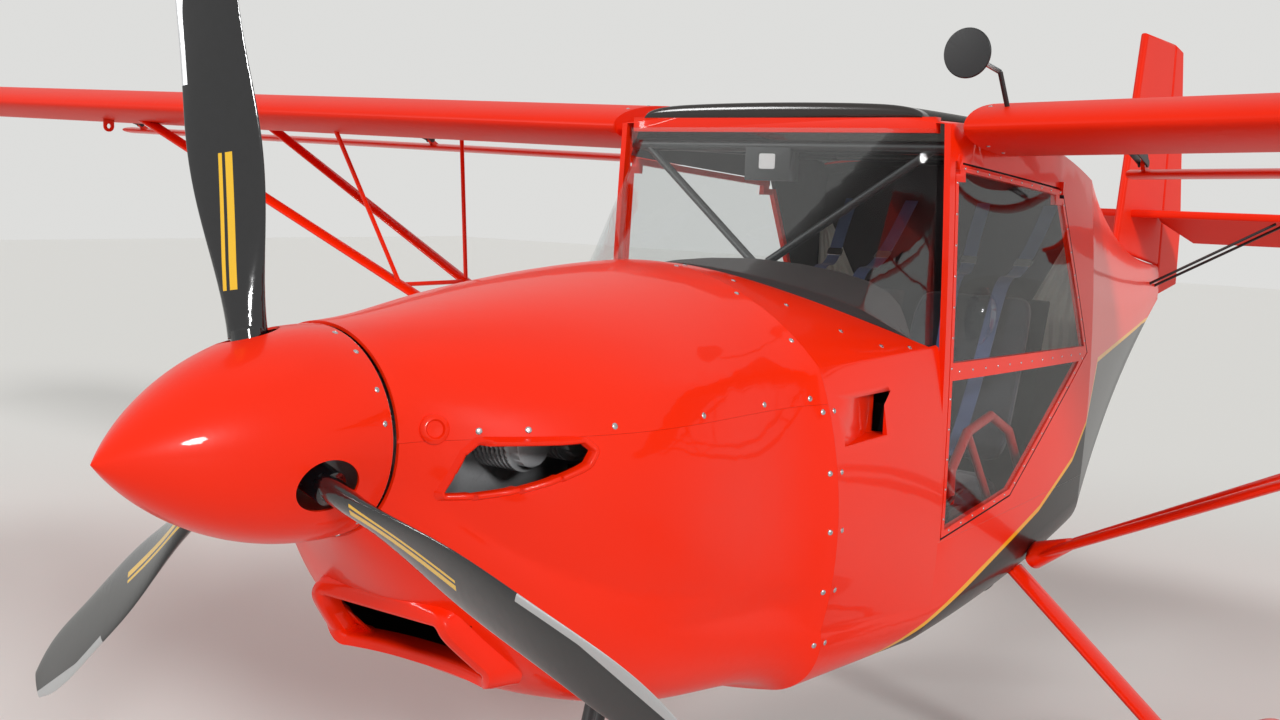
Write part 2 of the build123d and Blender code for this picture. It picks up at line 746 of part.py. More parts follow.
# Lift struts
strut_root = (500.0, 749.0, -575.0)
for hand, name in ((1, "left"), (-1, "right")):
    root = (hand * 520, aft(strut_root[1]), up(strut_root[2]))
    lift = tan(radians(wing_dihedral)) * (strut_wing_x - wing_root_x)
    with BuildPart() as struts:
        for spar in (front_spar, rear_spar):
            add(fairing((root[0], root[1] + (spar - 475) * 0.06, root[2]),
                        (hand * strut_wing_x, aft(spar), wing_z + lift), strut_chord, strut_thickness))
        # cuff over the shared root fitting
        heading = Vector(hand * (strut_wing_x - 520), -274, wing_z + lift - root[2]).normalized()
        cuff_start = Vector(hand * 506, root[1], root[2] - 6)
        for reach, chord, thick in ((0, 118, 78), (120, 66, 34)):
            with BuildSketch(Plane(origin=cuff_start + heading * reach, x_dir=(0, 1, 0), z_dir=heading)):
                Ellipse(chord / 2, thick / 2)
        loft()
        # jury struts from each strut's middle up to the wing, tied together
        share = (jury_x - 520) / (strut_wing_x - 520)
        joints = []
        for spar in (front_spar, rear_spar):
            foot_y = root[1] + (spar - 475) * 0.06
            joints.append((hand * jury_x, foot_y + (aft(spar) - foot_y) * share,
                           root[2] + (wing_z + lift - root[2]) * share))
            add(rod(joints[-1], (hand * (jury_x + 70), aft(spar + 20), wing_z + 20), jury_radius))
        add(rod(joints[0], joints[1], jury_radius))
        add(made[f"wing_{name}"], mode=Mode.SUBTRACT)
        for shell_name in ("cabin_tub", "cabin_frame"):
            add(made[shell_name], mode=Mode.SUBTRACT)
        add(slab(aft(400), aft(1100), up(-720), up(-300), -500, 500), mode=Mode.SUBTRACT)
    keep(struts.part, f"lift_struts_{name}")

# Tail surfaces
rudder_axis_y = hinge_y + 8
rudder_hinges = [260.0, 640.0, 1060.0]
with BuildPart() as fin:
    with BuildSketch(side(-tail_thickness / 2)):
        with BuildLine():
            Polyline(
                (aft(2990), up(252)), (aft(3206), up(fin_top_height)), (hinge_y, up(fin_top_height)),
                (hinge_y, up(170)), (tail_post_y, up(170)), close=True,
            )
        make_face()
    extrude(amount=tail_thickness)
    fillet(fin.edges().filter_by(Axis.X, reverse=True), tail_round)
    with BuildSketch(side(-tail_thickness)):
        with Locations((aft(stabiliser_aft + stabiliser_chord + 14), up(stabiliser_height))):
            Circle(13.9)
    extrude(amount=2 * tail_thickness, mode=Mode.SUBTRACT)
    add(made["aft_fuselage"], mode=Mode.SUBTRACT)
    for height in rudder_hinges:
        add(slab(hinge_y - 2, rudder_axis_y, up(height) - 4, up(height) + 4, -6, 6))
        add(rod((0, rudder_axis_y, up(height) - 4), (0, rudder_axis_y, up(height) + 4), 6))
        add(rod((0, rudder_axis_y, up(height) - 14), (0, rudder_axis_y, up(height) + 14), 3))
keep(fin.part, "fin")
rudder_front_y = hinge_y + tail_gap
with BuildPart() as rudder:
    with BuildSketch(side(-tail_thickness / 2)):
        with BuildLine():
            Polyline(
                (rudder_front_y, up(20)), (rudder_front_y, up(fin_top_height)),
                (hinge_y + 150, up(fin_top_height - 20)), (length / 2, up(350)),
                (length / 2, up(60)), close=True,
            )
        make_face()
    extrude(amount=tail_thickness)
    fillet(rudder.edges().filter_by(Axis.X, reverse=True), tail_round)
    for height in rudder_hinges:
        add(rod((0, rudder_axis_y, up(height) - 4.3), (0, rudder_axis_y, up(height) + 4.3), 7.5),
            mode=Mode.SUBTRACT)
        for below in (-11, 4.3):
            z = up(height) + below
            add(rod((0, rudder_axis_y, z), (0, rudder_axis_y, z + 6.7), 6))
            add(slab(rudder_axis_y, rudder_front_y + 4, z, z + 6.7, -6, 6))
        add(rod((0, rudder_axis_y, up(height) - 15), (0, rudder_axis_y, up(height) + 15), 3.3),
            mode=Mode.SUBTRACT)
keep(rudder.part, "rudder")
with BuildPart() as stabiliser:
    with BuildSketch(Plane.XY.offset(up(stabiliser_height) - tail_thickness / 2)):
        with BuildLine():
            Polyline(
                (0, aft(stabiliser_aft)), (stabiliser_half_span, aft(stabiliser_aft + 90)),
                (stabiliser_half_span, aft(stabiliser_aft + stabiliser_chord)),
                (-stabiliser_half_span, aft(stabiliser_aft + stabiliser_chord)),
                (-stabiliser_half_span, aft(stabiliser_aft + 90)), close=True,
            )
        make_face()
    extrude(amount=tail_thickness)
    fillet(stabiliser.edges().filter_by(Axis.Z, reverse=True), tail_round)
    add(made["fin"], mode=Mode.SUBTRACT)
keep(stabiliser.part, "stabiliser")

# Elevator: two halves on one tube through the fin, hanging on its lower stop
elevator_hinge = Vector(0, aft(stabiliser_aft + stabiliser_chord + 14), up(stabiliser_height))
droop = radians(elevator_droop)
elevator_plane = Plane(origin=elevator_hinge, x_dir=(1, 0, 0),
                       z_dir=(0, sin(droop), cos(droop)))
with BuildPart() as elevator:
    with BuildSketch(elevator_plane.offset(-tail_thickness * 0.4)):
        with BuildLine():
            Polyline(
                (26, 0), (stabiliser_half_span, 0), (stabiliser_half_span, elevator_chord - 60),
                (stabiliser_half_span - 80, elevator_chord), (130, elevator_chord), (26, 60),
                close=True,
            )
        make_face()
        mirror(about=Plane.YZ)
    extrude(amount=tail_thickness * 0.8)
    with BuildSketch(side(-stabiliser_half_span + 5)):
        with Locations((elevator_hinge.Y, elevator_hinge.Z)):
            Circle(13.6)
    extrude(amount=2 * stabiliser_half_span - 10)
keep(elevator.part, "elevator")

with BuildPart() as braces:
    for hand in (1, -1):
        for station, foot in ((3240, 3240), (3480, 3440)):
            add(rod((hand * 30, aft(foot), up(60)), (hand * 600, aft(station), up(392 - 6)), 6))
    add(made["aft_fuselage"], mode=Mode.SUBTRACT)
    add(made["stabiliser"], mode=Mode.SUBTRACT)
keep(braces.part, "tail_braces")


def wheel_set(x, y, z, radius, width, rim, label):
    """A wheel and its tyre, turning on the X axis."""
    tall = radius - rim
    # half the tyre's profile: side distance over the width, height over the side wall
    wall = [(0.36, 0.0), (0.45, 0.18), (0.50, 0.45), (0.475, 0.72), (0.39, 0.90), (0.20, 0.985)]
    with BuildPart() as tyre:
        with BuildSketch(Plane.XY):
            with BuildLine():
                half = [(width * s, rim + tall * h) for s, h in wall]
                Polyline(*half, (0, radius), *[(-s, h) for s, h in reversed(half)], close=True)
            make_face()
        revolve(axis=Axis.X)
    keep(Pos(x, y, z) * tyre.part, f"{label}_tyre")
    with BuildPart() as wheel:
        with BuildSketch(Plane.XY):
            with BuildLine():
                Polyline(
                    (-width * 0.36, rim), (width * 0.36, rim), (width * 0.36, rim - 8),
                    (width * 0.12, rim - 22), (width * 0.12, 34), (width * 0.34, 30),
                    (width * 0.34, 12.3), (-width * 0.34, 12.3), (-width * 0.34, 30),
                    (-width * 0.12, 34), (-width * 0.12, rim - 22), (-width * 0.36, rim - 8),
                    close=True,
                )
            make_face()
        revolve(axis=Axis.X)
    keep(Pos(x, y, z) * wheel.part, f"{label}_wheel")


def spat(x, y, z, radius, width, scale, label, cut):
    """A teardrop cover over a wheel, open below, with room for the tyre."""
    rows = [(-300, 8, 0), (-235, 52, 58), (-90, 78, 112), (60, 80, 118), (220, 58, 84), (380, 8, 22)]
    with BuildPart() as cover:
        for along, half, rise in rows:
            with BuildSketch(across(y + along * scale)):
                with Locations((x, z + 60 * scale)):
                    Ellipse(half * scale, (rise + 22) * scale)
        loft()
        with BuildSketch(side(x - width / 2 - 10)):
            with Locations((y, z)):
                Circle(radius + 9)
        extrude(amount=width + 20, mode=Mode.SUBTRACT)
        for piece in cut:
            add(piece, mode=Mode.SUBTRACT)
    keep(cover.part, label)


# Main gear: a flat leaf leg each side, with a stub axle through the wheel
for hand, name in ((1, "left"), (-1, "right")):
    foot = (hand * (main_wheel_x - 90), aft(main_wheel_aft), wheel_radius)
    with BuildPart() as leg:
        add(fairing((hand * leg_root_x, aft(main_wheel_aft + 18), up(leg_root_height)),
                    foot, leg_chord, leg_thickness))
        add(rod((foot[0] - hand * 8, foot[1], foot[2]), (hand * (main_wheel_x + 45), foot[1], foot[2]), 12))
        add(made["cabin_tub"], mode=Mode.SUBTRACT)
        add(lofted(CABIN, inset=door_wall), mode=Mode.SUBTRACT)
    keep(leg.part, f"gear_leg_{name}")
    wheel_set(hand * main_wheel_x, aft(main_wheel_aft), wheel_radius, wheel_radius, tyre_width,
              rim_radius, f"main_{name}")
    spat(hand * main_wheel_x, aft(main_wheel_aft), wheel_radius, wheel_radius, tyre_width, 1.0,
         f"spat_{name}", [leg.part])

# Nose gear: a fixed leg under the engine bay and a steered fork
leg_top = Vector(0, aft(-640), up(-600))
leg_end = Vector(0, aft(-730), up(-878))
leg_line = (leg_end - leg_top).normalized()
nose_axle = (0, aft(nose_wheel_aft + 45), nose_wheel_radius)


def axle_rod(radius):
    """A bar along the nose axle's whole length."""
    return rod((-tow_half, *nose_axle[1:]), (tow_half, *nose_axle[1:]), radius)


with BuildPart() as nose_leg:
    add(rod(tuple(leg_top), tuple(leg_end), 26))
    add(rod(tuple(leg_top), (0, firewall_y + 0, up(-560)), 14))
    add(slab(firewall_y, 4000, 0, 3000), mode=Mode.SUBTRACT)
keep(nose_leg.part, "nose_leg")
with BuildPart() as fork:
    crown_top = leg_end + leg_line * 0.3
    crown_low = leg_end + leg_line * 60
    add(rod(tuple(crown_top), tuple(crown_low), 24))
    with BuildSketch(Plane(origin=crown_low, x_dir=(1, 0, 0), z_dir=leg_line)):
        Rectangle(160, 44)
    extrude(amount=16)
    for hand in (1, -1):
        blade_top = (hand * 70, crown_low.Y, crown_low.Z + 2)
        add(fairing(blade_top, (hand * 70, nose_axle[1], nose_axle[2] - 16), 40, 14))
    add(axle_rod(12))
    add(axle_rod(tow_bore), mode=Mode.SUBTRACT)
keep(fork.part, "nose_fork")
wheel_set(*nose_axle, nose_wheel_radius, nose_tyre_width, 85.0, "nose")
spat(nose_axle[0], nose_axle[1], nose_axle[2], nose_wheel_radius, nose_tyre_width, 0.98,
     "nose_spat", [fork.part, axle_rod(12.3)])

# Round mirror on a bent arm over the left wing root
mirror_centre = Vector(514, aft(0), up(780))
with BuildPart() as mirror_piece:
    with BuildSketch(Plane(origin=mirror_centre, x_dir=(1, 0, 0), z_dir=(0, 0, -1))):
        with BuildLine():
            ThreePointArc((0, -26), (34, -19), (59, 0))
            Line((59, 0), (56, 4))
            Line((56, 4), (0, 4))
            Line((0, 4), (0, -26))
        make_face()
    revolve(axis=Axis(tuple(mirror_centre), (0, 1, 0)))
    add(rod(tuple(mirror_centre), (mirror_centre.X + 60, aft(60), up(740)), 6))
    add(rod((mirror_centre.X + 60, aft(60), up(740)), (mirror_centre.X + 74, aft(100), up(640)), 6))
    add(made["wing_left"], mode=Mode.SUBTRACT)
keep(mirror_piece.part, "rear_view_mirror")
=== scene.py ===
"""Paint, cloth, glass and small fittings for a two-seat high-wing light sport aircraft."""

import json
import math
from functools import partial

import bmesh
import bpy
import numpy as np
from mathutils import Matrix, Vector
from mathutils.bvhtree import BVHTree

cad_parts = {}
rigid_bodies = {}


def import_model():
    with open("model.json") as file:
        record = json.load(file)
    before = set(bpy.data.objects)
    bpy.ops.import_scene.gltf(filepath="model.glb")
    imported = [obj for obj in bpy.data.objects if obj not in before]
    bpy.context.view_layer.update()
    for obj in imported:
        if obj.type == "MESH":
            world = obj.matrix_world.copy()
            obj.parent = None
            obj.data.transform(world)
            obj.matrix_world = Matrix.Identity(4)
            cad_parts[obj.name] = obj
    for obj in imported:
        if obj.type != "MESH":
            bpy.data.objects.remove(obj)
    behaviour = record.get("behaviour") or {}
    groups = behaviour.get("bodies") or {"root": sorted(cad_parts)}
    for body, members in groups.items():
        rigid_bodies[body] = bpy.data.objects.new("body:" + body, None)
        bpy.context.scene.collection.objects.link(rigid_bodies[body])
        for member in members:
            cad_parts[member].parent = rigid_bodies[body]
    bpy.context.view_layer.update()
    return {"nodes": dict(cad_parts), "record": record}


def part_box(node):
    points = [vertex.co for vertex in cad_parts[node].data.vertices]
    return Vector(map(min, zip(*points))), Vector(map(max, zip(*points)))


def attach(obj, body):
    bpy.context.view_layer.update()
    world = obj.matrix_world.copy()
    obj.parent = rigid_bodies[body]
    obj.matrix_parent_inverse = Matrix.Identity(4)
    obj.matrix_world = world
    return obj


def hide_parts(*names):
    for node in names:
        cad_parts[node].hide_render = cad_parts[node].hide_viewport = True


bl_info = {
    "name": "Light sport aircraft",
    "version": (1, 0, 0),
    "blender": (4, 5, 0),
    "location": "3D View > Sidebar > Aircraft",
    "description": "Dresses the light aircraft's frame with paint, cloth, glass and fittings",
    "category": "Object",
}

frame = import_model()

# Places of the CAD in metres: the wing's leading edge, the shaft's height, the spinner's back and the blades
WING_Y = -1.029
THRUST_Z = 1.292
SPINNER_BACK_Y = -2.553
BLADE_Y = -2.675
HAND = {"left": 1.0, "right": -1.0}
# door corners, station and height: front top, rear top, rear middle, rear bottom, front bottom
DOOR = [(0.030, 0.530), (0.830, 0.480), (1.118, -0.015), (0.500, -0.365), (0.032, -0.402)]
RAIL = [(0.030, 0.018), (1.118, -0.015)]
# blade stations: distance from the shaft, chord and pitch
BLADE = [(0.170, 0.066, 52), (0.300, 0.088, 38), (0.520, 0.132, 27), (0.720, 0.118, 20), (0.900, 0.056, 16)]
FIRST_BLADE_ANGLE = 101.0
# blade markings: the stripes' run along the blade, each stripe's middle and half width, and their lean
STRIPES_RUN = (0.250, 0.478)
BLADE_STRIPES = [(0.0065, 0.0062), (-0.0085, 0.0032)]
STRIPES_LEAN = (-0.09, 0.0405)
# metal strip on the blade's leading edge: its width, and where it begins
EDGE_STRIP = (0.013, 0.600)
# pin stripe's line on the side, as three slopes: station, height there and slope
PIN_STRIPE = [(0.130, -0.577, 0.2101), (0.760, -0.445, 0.370), (1.049, -0.338, 0.900)]
PIN_STRIPE_TOP = -0.060
PIN_STRIPE_HALF = 0.0075
# tyre tread: half the grooves' spacing, a groove's half width, the crown's half width and where it begins
TREAD = (0.0075, 0.0016, 0.034, 0.93)
# tyres' middles: side distance and height
TYRE_MIDDLES = {"main_left_tyre": (1.160, 0.175), "main_right_tyre": (-1.160, 0.175),
                "nose_tyre": (0.0, 0.160)}
# round mirror's middle, side distance and height, and the radius of its glass
MIRROR = (0.514, 2.072, 0.055)
# anti-glare pad: its front edge's station, and its top at the rear, by side distance
PAD_FRONT = [(0.0, -0.462), (0.100, -0.430), (0.200, -0.366), (0.250, -0.320), (0.300, -0.268),
             (0.350, -0.212), (0.400, -0.122), (0.430, -0.098), (0.444, -0.088)]
PAD_TOP = [(0.0, 0.269), (0.135, 0.263), (0.248, 0.250), (0.330, 0.231), (0.385, 0.206), (0.420, 0.172),
           (0.444, 0.100)]
PAD_HALF = 0.444
PAD_REAR = -0.0655
PAD_ROLL = 0.006
# roof sheet: half width, crown over the thrust line, the crown's drop at its sides, and its lift off the skin
ROOF_HALF = 0.4095
ROOF_CROWN = 0.668
ROOF_DROP = 0.010
ROOF_LIFT = 0.0015
# its first two stations and its last, and where the crown starts to fade and over what run
ROOF_STATIONS = (0.004, 0.010, 1.058)
ROOF_FADE = (0.35, 0.70)
ROOF_THICK = 0.0030
# the header's upper edge, and where the sheet's smoked edge ends
HEADER_TOP = 0.6325
SMOKED_END = 0.062
# door panes: margin inside the frame, thickness, the lower one's bulge, and the notch's depth, reach and ramp
PANE_MARGIN = 0.021
PANE_THICK = 0.0035
LOWER_BULGE = 0.006
PANE_NOTCH = 0.014
NOTCH_REACH = 0.046
NOTCH_RAMP = 0.012
# vent in the upper pane: station and height, its oval's two half axes, and its shell as share and how far out
VENT_PLACE = (0.190, 0.150)
VENT_AXES = ((0, 0.050, 0), (0, 0.0068, 0.06766))
VENT_SHELL = [(1.06, 0.000), (1.08, 0.004), (1.02, 0.007), (0.96, 0.006), (0.86, 0.016), (0.66, 0.026),
               (0.40, 0.032), (0.0, 0.034)]
# chin scoop's mouth seen from ahead: side distance and height
SCOOP = [(0.150, -0.356), (-0.150, -0.356), (-0.196, -0.466), (0.196, -0.466)]
# side intake's mouth seen from its side: station and height
INTAKE = [(-1.440, -0.094), (-1.424, -0.058), (-1.410, -0.026), (-1.391, -0.008), (-1.235, -0.011),
          (-1.222, -0.026), (-1.237, -0.047), (-1.283, -0.066), (-1.341, -0.084), (-1.400, -0.094)]
# sections of the rolled lips: distance from the mouth's edge, depth below the crest, share down to the skin
SCOOP_LIP = [(-0.002, 0.055, 0), (-0.002, 0.012, 0), (0.0, 0.005, 0), (0.004, 0.001, 0), (0.010, 0.0, 0),
             (0.023, 0.002, 0), (0.027, 0.0, 0.22), (0.031, 0.0, 0.55), (0.034, 0.0, 0.82), (0.037, 0.0, 1.0)]
INTAKE_LIP = [(-0.001, 0.020, 0), (-0.001, 0.004, 0), (0.001, 0.0008, 0), (0.004, 0.0, 0), (0.007, 0.0004, 0),
              (0.010, 0.0, 0.5), (0.013, 0.0, 1.0)]
# how far the lips' corners are bent, and how far their crests stand over the skin
SCOOP_BEND, SCOOP_PROUD = 0.010, 0.003
INTAKE_BEND, INTAKE_PROUD = 0.003, 0.0022
# seats: each one's middle from the aircraft's, its pads' places, half sizes and lean, and their channels
SEAT_SIDE = 0.235
CUSHION_PLACE = (0.476, -0.398)
CUSHION_HALF = (0.192, 0.232, 0.050)
BACK_PLACE = (0.806, -0.085)
BACK_HALF = (0.192, 0.262, 0.036)
BACK_LEAN = (0.340, 0.940)
CHANNELS = (-0.52, 0.0, 0.52)
# how far the side bolsters come forward, and how deep the seam and the channels are sewn in
BOLSTER = 0.040
SEAM_DEPTH = 0.0035
CHANNEL_DEPTH = 0.006
# thin shell under the cushion and behind the back: station and height
SHELL_LINE = [(0.262, -0.462), (0.300, -0.464), (0.500, -0.465), (0.680, -0.464), (0.745, -0.452),
              (0.785, -0.400), (0.830, -0.270), (0.890, -0.090), (0.950, 0.085), (0.968, 0.140)]
SHELL_BEND = -0.42
SHELL_HALF = 0.196
SHELL_CURL = 0.020
SHELL_THICK = 0.006
# shoulder strap's line: station, height and distance from the seat's middle; half of the webbing's width
STRAP_LINE = [(1.148, 0.430, 0.110), (1.060, 0.325, 0.100), (0.985, 0.238, 0.085), (0.940, 0.212, 0.080),
              (0.895, 0.214, 0.078), (0.858, 0.190, 0.076), (0.824, 0.121, 0.072), (0.756, -0.067, 0.060),
              (0.688, -0.255, 0.040), (0.662, -0.308, 0.022)]
STRAP_HALF = 0.022
STRAP_THICK = 0.0018
# which of the strap's points bears the plate, the plate's half sizes, and the buckle's place and half sizes
STRAP_PLATE = 13
PLATE_HALF = (0.027, 0.016, 0.003)
BUCKLE_PLACE = (0.645, -0.318)
BUCKLE_HALF = (0.030, 0.024, 0.009)
# curtain: its station, top and drop, its outer and inner edges, and how far the inner one starts further out
CURTAIN_STATION = 1.1440
CURTAIN_TOP = 0.345
CURTAIN_DROP = 0.375
CURTAIN_SIDE = 0.462
CURTAIN_INNER = 0.300
CURTAIN_SLANT = 0.115
# its folds: how deep at the top, how much deeper at the foot, and how many; the cloth; points down and across
FOLD_TOP = 0.0015
FOLD_MORE = 0.0055
FOLDS = 5
CURTAIN_THICK = 0.0012
CURTAIN_NET = (25, 61)
# plate under the two sloping tubes' feet, and the hanging box's display: place and half sizes
FOOT_PLACE = (0.0, -0.0530, 0.236)
FOOT_HALF = (0.046, 0.0135, 0.024)
DISPLAY_PLACE = (-0.033, 0.0293, 0.520)
DISPLAY_HALF = (0.024, 0.0012, 0.020)
# door latch: station and height, the same on the bar below, its case's half sizes, its knob and its lever
LATCH_PLACE = (0.170, -0.362)
LATCH_BAR = (0.170, -0.378)
CASE_HALF = (0.010, 0.042, 0.020)
LATCH_INSIDE = 0.030
KNOB_PLACE = (0.150, -0.352)
KNOB = [(0.0, 0.016), (0.012, 0.015), (0.015, 0.010), (0.015, -0.004)]
LEVER_LENGTH = 0.110
LEVER_RADIUS = 0.0065
# round boss behind the spinner: station and height, and its form as radius and reach
BOSS_PLACE = (-1.454, 0.020)
BOSS = [(0.026, -0.003), (0.026, 0.004), (0.023, 0.007), (0.017, 0.008), (0.014, 0.004), (0.0, 0.003)]
# gauges: side distances, then height and radius of each row
GAUGE_SIDES = (-0.330, -0.225, -0.120, 0.120, 0.225, 0.330)
GAUGE_ROWS = ((0.105, 0.040), (0.005, 0.040))
GAUGE_STATION = -0.0695
# a gauge's rim, and its sunk dial, as shares of the radius and how far out
BEZEL = [(0.92, -0.001), (0.94, 0.010), (1.0, 0.013), (1.10, 0.010), (1.12, -0.001)]
DIAL = [(0.0, 0.003), (0.5, 0.003), (0.93, 0.002)]
# fastener rows, as stations, heights or side distances
SPLIT_SCREWS = (-1.470, -1.389, -1.318, -1.174, -0.954, -0.746, -0.600)
EDGE_SCREWS = (-0.015, -0.143, -0.268, -0.400, -0.520)
DECK_SCREWS = (0.10, 0.26, 0.40)
SCREEN_SCREWS = ((0.08, -0.492), (0.20, -0.474), (0.31, -0.424), (0.40, -0.330), (0.452, -0.225),
                 (0.470, -0.110))
ROOT_SCREWS = (0.10, 0.20, 0.52, 0.80)
# stations either side of the joint behind the cowl, and the spinner's screws in degrees past each blade
JOINT_STATIONS = (-0.574, -0.540)
SPINNER_SCREWS = (30, 48, 72, 90)
# rivets: how far inside the door's edge, their pitch there, and the middle rail's ends and pitch
RIVET_MARGIN = 0.0135
RIVET_PITCH = 0.075
RAIL_RIVETS = (np.array([0.050, 0.017]), np.array([1.085, -0.014]), 0.085)
# side distance of the screws at the wing's root
ROOT_SIDE = 0.540
# heads' radii
COWL_HEAD = 0.0062
SPINNER_HEAD = 0.0052
RIVET_HEAD = 0.0036
ROOT_HEAD = 0.0055
# camera: place, yaw, pitch and roll in degrees, and its focal length in pixels of the picture's width
CAMERA_PLACE = (1.816, -4.159, 1.724)
CAMERA_TURN = (35.253, 7.003, 2.042)
FOCAL_PIXELS = 1378.492
PICTURE_WIDTH = 1280
SENSOR_WIDTH = 36.0
# sun lamps: name, place it shines from, strength and how wide it looks in degrees
LAMPS = [("lamp_over", (0.3, 1.6, 6.5), 0.60, 30.0),
         ("lamp_left", (6.5, -4.0, 3.2), 1.70, 9.0),
         ("lamp_right", (-4.5, -6.0, 2.8), 0.90, 12.0)]
# world: its light on the object, and what is added where the camera, a gloss or a pane sees it
WORLD_LEVEL = 0.52
WORLD_SEEN = 0.30


def at(x, aft, up):
    """A point by its side distance, station aft and height over the thrust line, in metres."""
    return (x, WING_Y + aft, THRUST_Z + up)


def srgb(digits):
    """sRGB hex digits as a linear colour."""
    parts = [int(digits[i:i + 2], 16) / 255 for i in (1, 3, 5)]
    return tuple(c / 12.92 if c <= 0.04045 else ((c + 0.055) / 1.055) ** 2.4 for c in parts) + (1.0,)


def linear(colour):
    """A linear colour from hex digits, or from the name of one of the panel's colours."""
    return srgb(colour) if colour[0] == "#" else tuple(getattr(bpy.context.scene.aircraft_looks, colour))


def add_node(tree, kind, inputs=None, out=0, **settings):
    """One node with its settings and inputs, each a value or another node's output; gives its output."""
    node = tree.nodes.new("ShaderNode" + kind)
    for key, value in settings.items():
        setattr(node, key, value)
    for key, value in (inputs or {}).items():
        if isinstance(value, bpy.types.NodeSocket):
            tree.links.new(value, node.inputs[key])
        else:
            node.inputs[key].default_value = value
    return node.outputs[out] if node.outputs else None


def new_material(name, make, *rest):
    """A material of the shader that make gives, which gets what adds a node and the place on the object."""
    material = bpy.data.materials.new(name)
    material.use_nodes = True
    material.node_tree.nodes.clear()
    node = partial(add_node, material.node_tree)
    node("OutputMaterial", {"Surface": make(node, node("TexCoord", out="Object"), *rest)})
    return material


def enamel(node, place, base, shade, peel_scale=240.0, belly=None, stripe=None, ribs=None):
    """Gloss enamel: deep colour, clear wet coat and a faint orange peel.

    With belly and stripe, the side is parted by the pin stripe's line: below it the belly colour.
    With ribs, cloth pulled over ribs that distance apart shows each one as a low ridge."""
    cloud = node("TexNoise", {"Vector": place, "Scale": 2.2, "Detail": 3.0})
    colour = node("Mix", {0: cloud, 6: linear(shade), 7: linear(base)}, 2, data_type="RGBA")
    x, y, z = node("SeparateXYZ", {"Vector": place}).node.outputs
    if belly:
        station = node("Math", {0: y, 1: WING_Y}, operation="SUBTRACT")
        height = node("Math", {0: z, 1: THRUST_Z}, operation="SUBTRACT")
        edge = None
        for start, level, slope in PIN_STRIPE:
            run = node("Math", {0: station, 1: start}, operation="SUBTRACT")
            line = node("Math", {0: run, 1: slope, 2: level}, operation="MULTIPLY_ADD")
            edge = node("Math", {0: edge, 1: line}, operation="MAXIMUM") if edge else line
        edge = node("Math", {0: edge, 1: PIN_STRIPE_TOP}, operation="MINIMUM")
        over = node("Math", {0: height, 1: edge}, operation="SUBTRACT")
        above = node("Math", {0: over, 1: 0.0}, operation="GREATER_THAN")
        colour = node("Mix", {0: above, 6: linear(belly), 7: colour}, 2, data_type="RGBA")
        near = node("Math", {0: node("Math", {0: over}, operation="ABSOLUTE"), 1: PIN_STRIPE_HALF},
                    operation="LESS_THAN")
        colour = node("Mix", {0: near, 6: colour, 7: linear(stripe)}, 2, data_type="RGBA")
    peel = node("TexNoise", {"Vector": place, "Scale": peel_scale, "Detail": 1.0})
    bump = node("Bump", {"Strength": 0.04, "Distance": 0.0008, "Height": peel})
    if ribs:
        off = node("Math", {0: x, 1: ribs / 2}, operation="PINGPONG")
        ridge = node("Math", {0: off, 1: 0.012, 2: 0.02}, operation="SMOOTH_MIN")
        bump = node("Bump", {"Strength": 0.5, "Distance": 0.05, "Height": ridge, "Normal": bump}, invert=True)
    rough, coat, coat_rough = (0.52, 0.10, 0.30) if ribs else (0.34, 0.30, 0.04)
    return node("BsdfPrincipled", {"Base Color": colour, "Normal": bump, "Roughness": rough,
                                   "Coat Weight": coat, "Coat Roughness": coat_rough,
                                   "Specular IOR Level": 0.12})


def lacquered_blade(node, place):
    """Black gloss lacquer on glass fibre, with two yellow stripes and a metal strip on its leading edge."""
    fine = node("TexNoise", {"Vector": place, "Scale": 90.0, "Detail": 2.0})
    colour = node("Mix", {0: fine, 6: linear("#08080A"), 7: linear("#131316")}, 2, data_type="RGBA")
    along, side, facing, from_edge = (node("Attribute", out=2, attribute_name=word) for word in
                                      ("along", "behind_middle", "front", "from_front_edge"))
    in_run = node("Math", {0: facing, 1: 0.0}, operation="GREATER_THAN")
    for test, limit in zip(("GREATER_THAN", "LESS_THAN"), STRIPES_RUN):
        within = node("Math", {0: along, 1: limit}, operation=test)
        in_run = node("Math", {0: in_run, 1: within}, operation="MULTIPLY")
    lean = node("Math", {0: along, 1: STRIPES_LEAN[0], 2: STRIPES_LEAN[1]}, operation="MULTIPLY_ADD")
    leant = node("Math", {0: side, 1: lean}, operation="ADD")
    for middle, half in BLADE_STRIPES:
        off = node("Math", {0: leant, 1: middle, 2: half}, operation="COMPARE")
        band = node("Math", {0: off, 1: in_run}, operation="MULTIPLY")
        colour = node("Mix", {0: band, 6: colour, 7: linear("blade_stripe")}, 2, data_type="RGBA")
    strip = node("Math", {0: node("Math", {0: from_edge, 1: EDGE_STRIP[0]}, operation="LESS_THAN"),
                          1: node("Math", {0: along, 1: EDGE_STRIP[1]}, operation="GREATER_THAN")},
                 operation="MULTIPLY")
    colour = node("Mix", {0: strip, 6: colour, 7: linear("#C9CACC")}, 2, data_type="RGBA")
    rough = node("Math", {0: strip, 1: 0.22, 2: 0.10}, operation="MULTIPLY_ADD")
    return node("BsdfPrincipled", {"Base Color": colour, "Metallic": strip, "Roughness": rough,
                                   "Coat Weight": 0.6, "Coat Roughness": 0.05})


